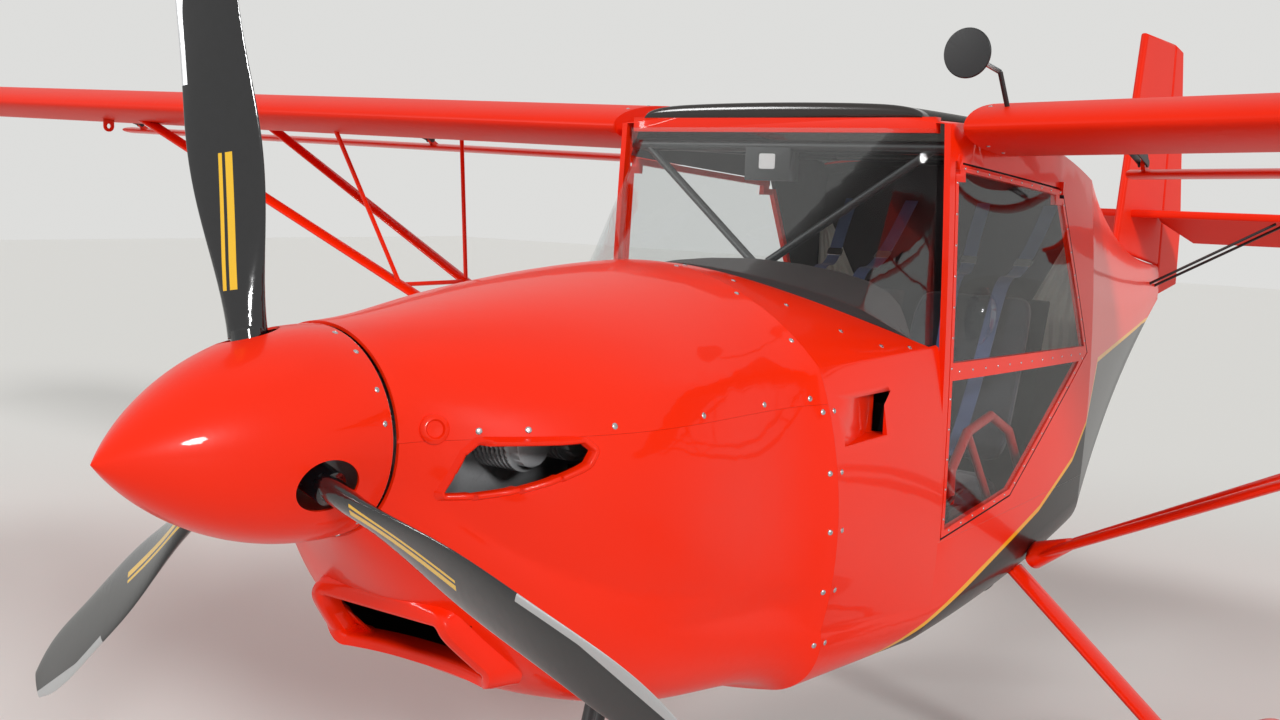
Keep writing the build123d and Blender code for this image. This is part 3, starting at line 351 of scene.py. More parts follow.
def tread_rubber(node, place):
    """Tyre rubber with a fine grain and five straight grooves round the crown, their floors painted darker as
    shade.
    """
    fine = node("TexNoise", {"Vector": place, "Scale": 420.0, "Detail": 2.0})
    colour = node("Mix", {0: fine, 6: linear("#151516"), 7: linear("#232324")}, 2, data_type="RGBA")
    across, reach = (node("Attribute", out=2, attribute_name=word) for word in ("across", "reach"))
    spacing, groove, crown, begin = TREAD
    cut = node("Math", {0: node("Math", {0: across, 1: spacing}, operation="PINGPONG"), 1: groove},
               operation="LESS_THAN")
    middle = node("Math", {0: node("Math", {0: across}, operation="ABSOLUTE"), 1: crown},
                  operation="LESS_THAN")
    outer = node("Math", {0: reach, 1: begin}, operation="GREATER_THAN")
    for within in (middle, outer):
        cut = node("Math", {0: cut, 1: within}, operation="MULTIPLY")
    # the grooves get a darker colour: painted shade in them
    colour = node("Mix", {0: cut, 6: colour, 7: linear("#0A0A0B")}, 2, data_type="RGBA")
    height = node("Math", {0: cut, 1: -1.0, 2: 1.0}, operation="MULTIPLY_ADD")
    bump = node("Bump", {"Strength": 0.8, "Distance": 0.003, "Height": height})
    grain = node("Bump", {"Strength": 0.3, "Distance": 0.0004, "Height": fine, "Normal": bump})
    return node("BsdfPrincipled", {"Base Color": colour, "Normal": grain, "Roughness": 0.78})


def woven(node, place, dark, light, thread=0.0026, depth=0.0009):
    """Woven cloth: two crossing sets of threads, with a slow change of tone."""
    # a wave texture's bands are 0.314 over its scale apart
    warp, weft = (node("TexWave", {"Vector": place, "Scale": 0.314 / thread}, 1, bands_direction=axis)
                  for axis in "XZ")
    weave = node("Math", {0: warp, 1: weft}, operation="MULTIPLY")
    cloud = node("TexNoise", {"Vector": place, "Scale": 14.0, "Detail": 4.0})
    slow = node("Math", {0: cloud, 1: 0.6}, operation="MULTIPLY")
    tone = node("Math", {0: weave, 1: 0.5, 2: slow}, operation="MULTIPLY_ADD")
    colour = node("Mix", {0: tone, 6: linear(dark), 7: linear(light)}, 2, data_type="RGBA")
    bump = node("Bump", {"Strength": 0.5, "Distance": depth, "Height": weave})
    return node("BsdfPrincipled", {"Base Color": colour, "Normal": bump, "Roughness": 0.88,
                                   "Sheen Weight": 0.25})


def plain(node, place, base, roughness, metallic=0.0, grain=300.0, depth=0.0002, spread=0.12):
    """A coating or moulding with a fine grain in its height and a little spread in its colour."""
    fine = node("TexNoise", {"Vector": place, "Scale": grain, "Detail": 2.0})
    bump = node("Bump", {"Strength": 0.35, "Distance": depth, "Height": fine})
    low = tuple(c * (1 - spread) for c in linear(base)[:3]) + (1.0,)
    colour = node("Mix", {0: fine, 6: low, 7: linear(base)}, 2, data_type="RGBA")
    return node("BsdfPrincipled", {"Base Color": colour, "Normal": bump, "Roughness": roughness,
                                   "Metallic": metallic})


def clear_sheet(node, place, tint, amount, edge):
    """Clear polycarbonate sheet: mostly see-through, with sharp reflections that grow towards its rim."""
    haze = node("TexNoise", {"Vector": place, "Scale": 35.0, "Detail": 4.0})
    rough = node("Math", {0: haze, 1: 0.03, 2: 0.015}, operation="MULTIPLY_ADD")
    rim = node("Fresnel", {"IOR": 1.45})
    share = node("Math", {0: rim, 1: edge, 2: amount}, operation="MULTIPLY_ADD")
    through = node("BsdfTransparent", {"Color": linear(tint)})
    gloss = node("BsdfGlossy", {"Color": linear("#FFFFFF"), "Roughness": rough})
    return node("MixShader", {0: share, 1: through, 2: gloss})


def matt(node, place, colour):
    """One even colour without gloss."""
    return node("BsdfPrincipled", {"Base Color": linear(colour), "Roughness": 0.7})


# Each finish: its name, what makes its shader, its colours and its own numbers
FINISHES = {
    # plain studio floor
    "floor": ("pale_floor", matt, "floor_colour"),
    # gloss enamel on glass fibre: wet and deep, with a faint peel
    "red": ("red_gloss_enamel", enamel, "paint", "paint_shade"),
    # the same enamel above the pin stripe, black below it
    "two_tone": ("red_enamel_black_belly", enamel, "paint", "paint_shade", 240.0, "belly", "pin_stripe"),
    # doped polyester cloth over ribs: a duller sheen and low ridges
    "cloth": ("red_doped_cloth", enamel, "#EC2805", "#E02203", 160.0, None, None, 0.29),
    # lacquer on moulded glass fibre: near black and wet
    "blade": ("black_gloss_lacquer", lacquered_blade),
    # powder coat on steel tube: even and half matt
    "steel": ("black_powder_coat", plain, "#1B1C1E", 0.42),
    "red_tube": ("red_powder_coat", plain, "#A81C14", 0.35),
    # turned and brushed aluminium: pale, with a soft shine
    "metal": ("brushed_aluminium", plain, "#B8B9BC", 0.32, 1.0),
    # sand-cast aluminium: dull and grainy
    "casting": ("cast_aluminium", plain, "#B9BABC", 0.48, 0.25, 160.0, 0.0008),
    # moulded rubber: matt and dark, its grooves painted darker as shade
    "rubber": ("tyre_rubber", tread_rubber),
    # flocked anti-glare shield: swallows light
    "shade": ("matte_black_shield", plain, "#2E2727", 0.80, 0.0, 500.0, 0.0005),
    # upholstery cloth, its threads drawn coarse so that they show
    "seat": ("grey_woven_cloth", woven, "seat_dark", "seat_light"),
    # harness webbing, closely woven
    "webbing": ("blue_black_webbing", woven, "#2A3350", "#6F84B8", 0.0016, 0.0005),
    # thin pale cotton
    "curtain": ("pale_cotton_curtain", woven, "#D2D4C8", "#F2F3EA", 0.0014, 0.0003),
    # felt lining of the baggage space: soft and matt
    "lining": ("pale_felt_lining", plain, "#C2BDB2", 0.92, 0.0, 300.0, 0.0006, 0.2),
    # dark trim cloth on the cabin's inner sides
    "trim": ("dark_trim_cloth", plain, "#3A3336", 0.90, 0.0, 300.0, 0.0006, 0.2),
    # bare resin inside the cowl: brown black and uneven
    "inside": ("dark_bare_laminate", plain, "#2B201C", 0.62, 0.0, 220.0, 0.0008, 0.3),
    # moulded nylon: half matt, finely grained
    "nylon": ("black_nylon", plain, "#161617", 0.38, 0.0, 420.0, 0.0003),
    # plated steel fastener: bright
    "plated": ("plated_steel", plain, "#C6C6C8", 0.24, 1.0, 600.0, 0.0001),
    # blank display film
    "film": ("white_display_film", plain, "#E9EAEA", 0.35),
    # silvered convex glass
    "mirror": ("silvered_glass", plain, "#D9DCDE", 0.04, 1.0, 40.0, 0.00002),
    # polished edge of the roof sheet
    "smoked": ("smoked_acrylic", plain, "#2C2725", 0.14, 0.0, 200.0, 0.00005, 0.3),
    # clear and tinted sheet
    "clear": ("clear_polycarbonate", clear_sheet, "#FAFBFB", 0.004, 0.12),
    "tinted": ("tinted_polycarbonate", clear_sheet, "#8E8B88", 0.01, 0.25),
}
MATERIALS = {}


def finish(key):
    """The finish of that name, made once."""
    if key not in MATERIALS:
        MATERIALS[key] = new_material(*FINISHES[key])
    return MATERIALS[key]


# Which finish each CAD node wears
WEARS = {
    "red": ["spinner", "cowl_upper", "door_frame_left", "door_frame_right", "lift_struts_left",
            "lift_struts_right", "gear_leg_left", "gear_leg_right", "spat_left",
            "spat_right", "nose_spat", "flaperon_left", "flaperon_right"],
    "two_tone": ["cowl_lower", "forward_skin", "cabin_tub", "cabin_frame", "aft_fuselage"],
    "cloth": ["wing_left", "wing_right", "fin", "rudder", "stabiliser", "elevator"],
    "blade": ["propeller_blade_1", "propeller_blade_2", "propeller_blade_3"],
    "steel": ["engine_mount", "flaperon_brackets_left", "flaperon_brackets_right", "tail_braces",
              "nose_leg", "nose_fork", "rear_view_mirror", "cabin_tubes"],
    "red_tube": ["seat_tubes"],
    "metal": ["propeller_hub", "firewall", "main_left_wheel", "main_right_wheel", "nose_wheel"],
    "casting": ["engine"],
    "rubber": ["main_left_tyre", "main_right_tyre", "nose_tyre"],
    "shade": ["instrument_panel"],
    "trim": ["rear_bulkhead"],
    "clear": ["windscreen"],
}
# Inner sides with a finish of their own: the skin's middle height, the finish, and from which station
LINED = {"cowl_upper": (1.25, "inside", -9.0), "cowl_lower": (1.25, "inside", -9.0),
         "forward_skin": (1.10, "inside", -9.0), "cabin_tub": (1.10, "lining", -9.0),
         "cabin_frame": (1.20, "trim", 0.06), "aft_fuselage": (1.35, "lining", -9.0)}
# Lips that keep the outer paint though they look inward: side distance, station and height, low and high
LIPS = [((0.0, 0.26), (-1.43, -1.19), (-0.53, -0.30)), ((0.452, 0.56), (-0.54, -0.305), (-0.115, 0.022))]
BODY_OF = {node: body for body, nodes in frame["record"]["behaviour"]["bodies"].items() for node in nodes}


def link_piece(name, mesh, angle):
    """An object at the origin with this mesh, its gentle edges shaded smooth."""
    mesh.shade_smooth()
    mesh.set_sharp_from_angle(angle=math.radians(angle))
    piece = bpy.data.objects.new(name, mesh)
    bpy.context.scene.collection.objects.link(piece)
    return piece


def make_piece(name, verts, faces, angle=40.0):
    """An object from points and faces."""
    mesh = bpy.data.meshes.new(name)
    mesh.from_pydata(np.asarray(verts, float).tolist(), [], [tuple(int(i) for i in f) for f in faces])
    mesh.validate()
    return link_piece(name, mesh, angle)


def settle(piece, key, node=None, body=None):
    """Give a finished piece its finish, and its place among the bodies."""
    piece.data.materials.clear()
    piece.data.materials.append(finish(key))
    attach(piece, body or BODY_OF[node])
    return piece


def smooth_copy(node):
    """A copy of a CAD node with its triangles joined and its gentle edges shaded smooth."""
    mesh = frame["nodes"][node].data.copy()
    mesh.name = node + "_skin"
    work = bmesh.new()
    work.from_mesh(mesh)
    bmesh.ops.remove_doubles(work, verts=work.verts, dist=1e-5)
    work.to_mesh(mesh)
    work.free()
    piece = link_piece(node + "_skin", mesh, 32.0)
    piece.modifiers.new("face_weights", "WEIGHTED_NORMAL").keep_sharp = True
    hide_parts(node)
    return piece


def weave_net(rows, cols, round_rows=False, round_cols=False):
    """Quads over a net of rows by cols points, numbered row by row."""
    number = np.arange(rows * cols).reshape(rows, cols)
    low, high = number, np.roll(number, -1, 0)
    if not round_rows:
        low, high = low[:-1], high[:-1]
    faces = np.stack([low, np.roll(low, -1, 1), np.roll(high, -1, 1), high], -1)
    if not round_cols:
        faces = faces[:, :-1]
    return [tuple(quad) for quad in faces.reshape(-1, 4).tolist()]


def join_nets(nets):
    """Several (points, faces) as one."""
    verts, faces, count = [], [], 0
    for points, quads in nets:
        verts.append(np.asarray(points, float))
        faces += [tuple(i + count for i in q) for q in quads]
        count += len(points)
    return np.concatenate(verts), faces


def unit(vectors):
    """Vectors brought to length one along their last axis."""
    return vectors / np.maximum(np.linalg.norm(vectors, axis=-1, keepdims=True), 1e-9)


def upright(direction):
    """Two directions square to this one, and this one at length one."""
    z = unit(np.asarray(direction, float))
    x = unit(np.cross((0.0, 0.0, 1.0) if abs(z[2]) < 0.9 else (1.0, 0.0, 0.0), z))
    return x, np.cross(z, x), z


def circle(x, y, count):
    """Points round a circle of radius one in the plane of x and y."""
    t = np.linspace(0, 2 * math.pi, count, endpoint=False)[:, None]
    return np.cos(t) * x + np.sin(t) * y


def turned(profile, centre, axis, count=32):
    """A turned form: p(i, t) = centre + r_i (x cos t + y sin t) + s_i z, over (r, s) pairs."""
    x, y, z = upright(axis)
    ring = circle(x, y, count)
    rows = [np.asarray(centre) + max(r, 1e-5) * ring + s * z for r, s in profile]
    return np.concatenate(rows), weave_net(len(profile), count, round_cols=True)


def swept(path, radius, count=12):
    """A round bar along points: p(i, t) = path_i + r (x_i cos t + y_i sin t), with shut ends."""
    path = np.asarray(path, float)
    runs = np.stack([path[min(i + 1, len(path) - 1)] - path[max(i - 1, 0)] for i in range(len(path))])
    side = upright(runs[0])[0]
    rows = []
    for spot, run in zip(path, unit(runs)):
        side = unit(side - run * np.dot(side, run))
        rows.append(spot + radius * circle(side, np.cross(run, side), count))
    shut = 1e-5 / radius
    rows = [path[0] + shut * (rows[0] - path[0]), *rows, path[-1] + shut * (rows[-1] - path[-1])]
    return np.concatenate(rows), weave_net(len(rows), count, round_cols=True)


def pillow(centre, half, axes=((1, 0, 0), (0, 1, 0), (0, 0, 1)), powers=(0.35, 0.35), rows=40, cols=64):
    """A crowned box, the superellipsoid x = a c(u)^e c(v)^f, y = b c(u)^e s(v)^f, z = c s(u)^e.

    Returns the points, the faces and the points in its own axes, each from -1 to 1."""
    e, f = powers
    u = np.linspace(-math.pi / 2, math.pi / 2, rows)[:, None]
    v = np.linspace(-math.pi, math.pi, cols, endpoint=False)[None, :]

    def power(value, by):
        return np.sign(value) * np.abs(value) ** by

    x = power(np.cos(u), e) * power(np.cos(v), f)
    y = power(np.cos(u), e) * power(np.sin(v), f)
    z = power(np.sin(u), e) * np.ones_like(v)
    own = np.stack([x, y, z], -1).reshape(-1, 3)
    points = np.asarray(centre) + (own * np.asarray(half)) @ np.asarray(axes, float)
    return points, weave_net(rows, cols, round_cols=True), own


def block(centre, half, powers, rows, cols, axes=((1, 0, 0), (0, 1, 0), (0, 0, 1))):
    """The points and faces of a small crowned box."""
    return pillow(centre, half, axes, powers, rows, cols)[:2]


def skin_tree(*nodes):
    """A search tree over the CAD meshes of these nodes."""
    meshes = [frame["nodes"][node].data for node in nodes]
    points, faces = join_nets((read_rows(mesh.vertices, "co"), [tuple(p.vertices) for p in mesh.polygons])
                              for mesh in meshes)
    return BVHTree.FromPolygons(points.tolist(), faces)


def on_skin(tree, start, direction):
    """The first point of the skin met from the start, and its outward normal."""
    place, normal = tree.ray_cast(Vector(start), Vector(direction).normalized())[:2]
    if place is None:
        return None
    if normal.dot(Vector(direction)) > 0:
        normal = -normal
    return np.array(place), np.array(normal)


def from_side(tree, hand, aft_station, height):
    """The skin's point and normal seen square from that side."""
    return on_skin(tree, at(hand * 0.9, aft_station, height), (-hand, 0, 0))


def from_above(tree, x, aft_station):
    """The skin's point and normal seen from straight above."""
    return on_skin(tree, at(x, aft_station, 1.0), (0, 0, -1))


def heads(name, spots, radius, body, domed=1.0):
    """Round fastener heads with a driver's recess, one joined mesh over (point, normal) pairs."""
    profile = [(0.0, 0.30), (0.26, 0.30), (0.34, 0.62), (0.60, 0.60), (0.86, 0.40), (1.0, 0.10), (1.0, -0.30)]
    profile = [(r * radius, s * radius * 0.5 * domed) for r, s in profile]
    nets = [turned(profile, *spot, 14) for spot in spots if spot is not None]
    settle(make_piece(name, *join_nets(nets)), "plated", body=body)


def outward_normals(points):
    """The outward normal of each straight edge of a closed outline."""
    run = np.roll(points, -1, 0) - points
    normal = unit(np.stack([run[:, 1], -run[:, 0]], -1))
    facing = ((points - points.mean(0)) * normal).sum(1)
    return normal * np.sign(facing)[:, None]


def drawn_in(corners, amount):
    """A closed outline of straight edges moved inward by the amount: each corner where its two edges meet."""
    points = np.asarray(corners, float)
    normal = outward_normals(points)
    level = (points * normal).sum(1) - amount
    pairs = np.stack([np.roll(normal, 1, 0), normal], 1)
    return np.linalg.solve(pairs, np.stack([np.roll(level, 1), level], 1)[..., None])[..., 0]


def sheet(outer, rows, cols, inward):
    """A net of rows by cols points, the same net moved inward behind it, and the rim between them."""
    quads = weave_net(rows, cols)
    count = rows * cols
    faces = quads + [tuple(i + count for i in reversed(q)) for q in quads]
    rim = list(range(cols)) + [r * cols + cols - 1 for r in range(1, rows)]
    rim += [(rows - 1) * cols + k for k in range(cols - 2, -1, -1)]
    rim += [r * cols for r in range(rows - 2, 0, -1)]
    faces += [(a, a + count, b + count, b) for a, b in zip(rim, rim[1:] + rim[:1])]
    return np.concatenate([outer, outer + np.array(inward)]), faces


def dome(hand, corners, tree, bulge, notch=0.0, rows=26, cols=36):
    """A pane p(u, v) over four corners on the skin, pushed out by bulge (sin pi u sin pi v)^0.8.

    Its upper corners are cut down by the notch, clear of the hinges."""
    u = np.linspace(0, 1, cols)[None, :]
    v = np.linspace(0, 1, rows)[:, None]
    a, b, c, d = corners
    flat = ((1 - u) * (1 - v))[..., None] * a + (u * (1 - v))[..., None] * b
    flat = flat + (u * v)[..., None] * c + ((1 - u) * v)[..., None] * d
    if notch:
        from_end = np.minimum(u, 1 - u) * np.linalg.norm(c - d)
        flat[..., 1] -= notch * v * np.clip((NOTCH_REACH - from_end) / NOTCH_RAMP, 0, 1)
    rise = (bulge * (np.sin(np.pi * u) * np.sin(np.pi * v)).clip(0) ** 0.8).ravel()
    flat = flat.reshape(-1, 2)
    inward = flat.mean(0) - flat
    side = []
    for spot, step in zip(flat, inward):
        # where the rim just misses the skin, it is sought a little further in
        met = (from_side(tree, hand, *(spot + step * share)) for share in (0.0, 0.01, 0.02, 0.04, 0.08))
        side.append(next(m[0][0] for m in met if m is not None))
    outer = np.stack([np.array(side) + hand * rise, WING_Y + flat[:, 0], THRUST_Z + flat[:, 1]], -1)
    return sheet(outer, rows, cols, (-hand * PANE_THICK, 0, 0))


def roof_sheet(tree, rows=30, cols=61):
    """The crowned roof: h(x, s) = skin + (crown - drop x^2 - skin) fade(s) (1 - x^10)^0.5, x from -1 to 1.

    Its front edge drops to a straight line on the header, and towards the rear it comes down to the skin."""
    x = np.sin(np.linspace(-math.pi / 2, math.pi / 2, cols))
    first, second, last = ROOF_STATIONS
    stations = np.concatenate([[first], np.linspace(second, last, rows)])
    edge = (1 - x ** 10).clip(0) ** 0.5
    outer = []
    for station in stations:
        skin = np.array([from_above(tree, ROOF_HALF * k, station)[0][2] - THRUST_Z for k in x])
        gone = min(max((station - ROOF_FADE[0]) / ROOF_FADE[1], 0.0), 1.0)
        fade = 0.5 + 0.5 * math.cos(math.pi * gone)
        height = skin + ROOF_LIFT + (ROOF_CROWN - ROOF_DROP * x ** 2 - skin).clip(0) * fade * edge
        outer.append(np.stack([ROOF_HALF * x, np.full(cols, station), height], -1))
    # the bent front edge, and its foot in the header
    lead = outer[0].copy()
    lead[:, 1] = -0.0010
    lead[:, 2] = np.maximum(lead[:, 2] - 0.005, HEADER_TOP)
    foot = lead.copy()
    foot[:, 2] = HEADER_TOP - 0.0005
    outer = np.concatenate([foot, lead, *outer]) + np.array([0, WING_Y, THRUST_Z])
    return sheet(outer, len(stations) + 2, cols, (0, ROOF_THICK, -ROOF_THICK))


def lip_round(tree, corners, facing_out, section, bend, proud):
    """A rolled lip round a mouth cut in the skin: p(t, s) = outline(t) + d_s normal(t), at height h(t, s).

    Corners are seen from ahead, or from the side that faces out. The section's columns: distance from the
    mouth's edge, depth below the crest, and share of the way from the crest down to the skin."""
    out = np.asarray(facing_out, float)
    inner = drawn_in(corners, bend)
    normals = outward_normals(inner)
    path, heading = [], []
    for begin, end, normal, after in zip(inner, np.roll(inner, -1, 0), normals, np.roll(normals, -1, 0)):
        path += [begin + (end - begin) * share for share in np.linspace(0, 1, 24)] + [end] * 6
        heading += [normal] * 24
        heading += [unit(normal * (1 - share) + after * share) for share in np.linspace(0, 1, 8)[1:-1]]
    path, heading = np.array(path), np.array(heading)

    def placed(off, height):
        spots = path + (bend + off) * heading
        if abs(out[1]) > 0.5:
            return np.stack([spots[:, 0], -height, THRUST_Z + spots[:, 1]], -1)
        return np.stack([out[0] * height, WING_Y + spots[:, 0], THRUST_Z + spots[:, 1]], -1)

    def skin_at(off):
        met = [on_skin(tree, spot, -out) for spot in placed(off, np.full(len(path), 3.4))]
        found = np.array([np.nan if m is None else np.dot(m[0], out) for m in met])
        # a point deep inside was met through the mouth
        found[np.nan_to_num(found) < np.nanmedian(found) - 0.20] = np.nan
        known = np.flatnonzero(~np.isnan(found))
        return np.interp(np.arange(len(found)), known, found[known], period=len(found))

    last = section[-1][0]
    crest = np.max([skin_at(off) for off in np.linspace(0.002, last * 0.68, 6)], axis=0) + proud
    outer = skin_at(last) - 0.002
    crest = np.max([np.roll(crest, k) for k in range(-5, 6)], axis=0)
    for _ in range(24):
        crest, outer = ((np.roll(line, 1) + 2 * line + np.roll(line, -1)) / 4 for line in (crest, outer))
    rows = [placed(off, crest - depth + (outer - crest) * share) for off, depth, share in section]
    return np.concatenate(rows), weave_net(len(rows), len(path), round_rows=True, round_cols=True)


def give_values(piece, values):
    """Write point attributes, one number to each point."""
    for name, numbers in values.items():
        attribute = piece.data.attributes.new(name, "FLOAT", "POINT")
        attribute.data.foreach_set("value", np.asarray(numbers, np.float32))


def read_rows(collection, word):
    """Three numbers from each item of a mesh's collection, as an array."""
    flat = np.empty(len(collection) * 3, np.float32)
    collection.foreach_get(word, flat)
    return flat.reshape(-1, 3).astype(float)


def paint_faces(piece, key, wanted):
    """Give the faces that the test picks a second finish."""
    piece.data.materials.append(finish(key))
    for polygon in piece.data.polygons:
        if wanted(polygon.center, polygon.normal):
            polygon.material_index = 1


def line_inside(piece, height, key, from_station):
    """Give the faces that look in towards the skin's middle the lining's finish."""
    def looks_in(c, n):
        spot = (abs(c.x), c.y - WING_Y, c.z - THRUST_Z)
        if any(all(low < value < high for value, (low, high) in zip(spot, lip)) for lip in LIPS):
            return False
        return n.x * c.x + n.z * (c.z - height) < -0.02 * abs(n.y) - 1e-4 and c.y > WING_Y + from_station

    paint_faces(piece, key, looks_in)


def puffed(piece, cap, fill=4.0):
    """Cloth round the pad blown out for twenty steps; its points, each held to the cap."""
    start = read_rows(piece.data.vertices, "co")
    scene = bpy.context.scene
    cloth = piece.modifiers.new("puff", "CLOTH")
    cloth.settings.quality = 6
    cloth.settings.mass = 0.3
    cloth.settings.use_pressure = True
    cloth.settings.uniform_pressure_force = fill
    cloth.settings.effector_weights.gravity = 0.0
    cloth.collision_settings.use_collision = False
    for step in range(1, 21):
        scene.frame_set(step)
    shaped = piece.evaluated_get(bpy.context.evaluated_depsgraph_get())
    step = read_rows(shaped.data.vertices, "co") - start
    piece.modifiers.remove(cloth)
    scene.frame_set(1)
    size = np.linalg.norm(step, axis=1, keepdims=True)
    return start + step * np.minimum(1.0, cap / np.maximum(size, 1e-9))


def colour_choice(name, description, digits):
    """A colour of the panel, with its default."""
    return bpy.props.FloatVectorProperty(name=name, description=description, subtype="COLOR", size=4,
                                         min=0.0, max=1.0, default=srgb(digits))


class AircraftLooks(bpy.types.PropertyGroup):
    lamp_level: bpy.props.FloatProperty(
        name="Lamp level", description="Share of the three lamps' strength", default=1.0, min=0.0, max=4.0)
    floor_size: bpy.props.FloatProperty(
        name="Floor size", description="Side of the plain floor", default=60.0, min=10.0, unit="LENGTH")
    pane_bulge: bpy.props.FloatProperty(
        name="Pane bulge", description="How far the upper door panes dome out",
        default=0.032, min=0.0, max=0.06, unit="LENGTH")
    puff_cap: bpy.props.FloatProperty(
        name="Puff cap", description="Most that the seat cloth may swell at a point",
        default=0.012, min=0.0, max=0.03, unit="LENGTH")
    paint: colour_choice("Paint", "Red of the enamel", "#F52A03")
    paint_shade: colour_choice("Paint shade", "Darker red that drifts through the enamel", "#EB2402")
    belly: colour_choice("Belly", "Enamel below the pin stripe", "#120D0D")
    pin_stripe: colour_choice("Pin stripe", "Line between the paint and the belly", "#F2B01E")
    blade_stripe: colour_choice("Blade stripes", "Stripes on the propeller's front", "#E9B81C")
    seat_dark: colour_choice("Seat cloth, dark", "Darker threads of the seats", "#1C1E25")
    seat_light: colour_choice("Seat cloth, light", "Lighter threads of the seats", "#3A3D48")
    floor_colour: colour_choice("Floor", "Colour of the plain floor", "#DAD9D6")


class AIRCRAFT_OT_stage(bpy.types.Operator):
    """Lay the pale floor, hang the lamps and set the camera"""
    bl_idname = "aircraft.stage"
    bl_label = "Stage"

    def execute(self, context):
        scene, looks = context.scene, context.scene.aircraft_looks
        half = looks.floor_size / 2
        mesh = bpy.data.meshes.new("floor")
        corners = [(-half, -half, 0), (half, -half, 0), (half, half, 0), (-half, half, 0)]
        mesh.from_pydata(corners, [], [(0, 1, 2, 3)])
        floor = bpy.data.objects.new("floor", mesh)
        scene.collection.objects.link(floor)
        mesh.materials.append(finish("floor"))
        world = bpy.data.worlds.new("pale_room")
        scene.world = world
        world.use_nodes = True
        world.node_tree.nodes.clear()
        node = partial(add_node, world.node_tree)
        path = node("LightPath").node.outputs
        seen = path["Is Camera Ray"]
        for ray in ("Is Glossy Ray", "Is Transmission Ray"):
            seen = node("Math", {0: seen, 1: path[ray]}, operation="MAXIMUM")
        strength = node("Math", {0: seen, 1: WORLD_SEEN, 2: WORLD_LEVEL}, operation="MULTIPLY_ADD")
        sky = node("Background", {"Color": linear("#F2F2F0"), "Strength": strength})
        node("OutputWorld", {"Surface": sky})
        for name, spot, strength, width in LAMPS:
            light = bpy.data.lights.new(name, "SUN")
            light.energy = looks.lamp_level * strength
            light.angle = math.radians(width)
            lamp = bpy.data.objects.new(name, light)
            facing = Vector(spot).to_track_quat("Z", "Y").to_matrix().to_4x4()
            lamp.matrix_world = Matrix.Translation(spot) @ facing
            scene.collection.objects.link(lamp)
            # the overhead lamp would lie as a white bar across the windscreen
            lamp.visible_glossy = name != "lamp_over"
        yaw, pitch, roll = (math.radians(a) for a in CAMERA_TURN)
        ahead = Vector((-math.sin(yaw) * math.cos(pitch), math.cos(yaw) * math.cos(pitch), -math.sin(pitch)))
        right = Vector((math.cos(yaw), math.sin(yaw), 0))
        top = right.cross(ahead)
        side = right * math.cos(roll) + top * math.sin(roll)
        head = top * math.cos(roll) - right * math.sin(roll)
        camera = bpy.data.objects.new("camera", bpy.data.cameras.new("camera"))
        camera.data.sensor_width = SENSOR_WIDTH
        camera.data.lens = FOCAL_PIXELS / PICTURE_WIDTH * SENSOR_WIDTH
        camera.data.clip_start = 0.02
        facing = Matrix((side, head, -ahead)).transposed().to_4x4()
        camera.matrix_world = Matrix.Translation(CAMERA_PLACE) @ facing
        scene.collection.objects.link(camera)
        scene.camera = camera
        scene.view_settings.view_transform = "Standard"
        return {"FINISHED"}


class AIRCRAFT_OT_skins(bpy.types.Operator):
    """Smooth every rigid CAD node, give it its finish and line its inner side"""
    bl_idname = "aircraft.skins"
    bl_label = "Rigid skins"

    def execute(self, context):
        for key, nodes in WEARS.items():
            for node in nodes:
                piece = settle(smooth_copy(node), key, node)
                if node in LINED:
                    line_inside(piece, *LINED[node])
        for node, (middle, axle_height) in TYRE_MIDDLES.items():
            piece = bpy.data.objects[node + "_skin"]
            low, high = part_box(node)
            points = read_rows(piece.data.vertices, "co")
            reach = np.hypot(points[:, 1] - (low.y + high.y) / 2, points[:, 2] - axle_height)
            give_values(piece, {"across": points[:, 0] - middle, "reach": reach / reach.max()})
        side, height, radius = MIRROR

        def glass(c, n):
            return c.y > WING_Y + 0.001 and math.hypot(c.x - side, c.z - height) < radius

        paint_faces(bpy.data.objects["rear_view_mirror_skin"], "mirror", glass)
        return {"FINISHED"}


class AIRCRAFT_OT_blades(bpy.types.Operator):
    """Mark each blade's own measures for its stripes and metal edge"""
    bl_idname = "aircraft.blades"
    bl_label = "Blade markings"

    def execute(self, context):
        reach, chord, pitch = (np.array(column) for column in zip(*BLADE))
        for turn in range(3):
            angle = math.radians(FIRST_BLADE_ANGLE + 120 * turn)
            outward = np.array([math.cos(angle), 0, math.sin(angle)])
            tangent = np.array([-math.sin(angle), 0, math.cos(angle)])
            mesh = bpy.data.objects[f"propeller_blade_{turn + 1}_skin"].data
            points = read_rows(mesh.vertices, "co") - np.array([0, BLADE_Y, THRUST_Z])
            along = points @ outward
            lean = np.radians(np.interp(along, reach, pitch))[:, None]
            heading = tangent * np.cos(lean) + np.array([0, -1.0, 0]) * np.sin(lean)
            behind = -(points * heading).sum(1)
            edge = behind + np.interp(along, reach, chord) / 2
            front = -read_rows(mesh.vertex_normals, "vector")[:, 1]
            give_values(bpy.data.objects[f"propeller_blade_{turn + 1}_skin"],
                        {"along": along, "behind_middle": behind, "from_front_edge": edge, "front": front})
        return {"FINISHED"}


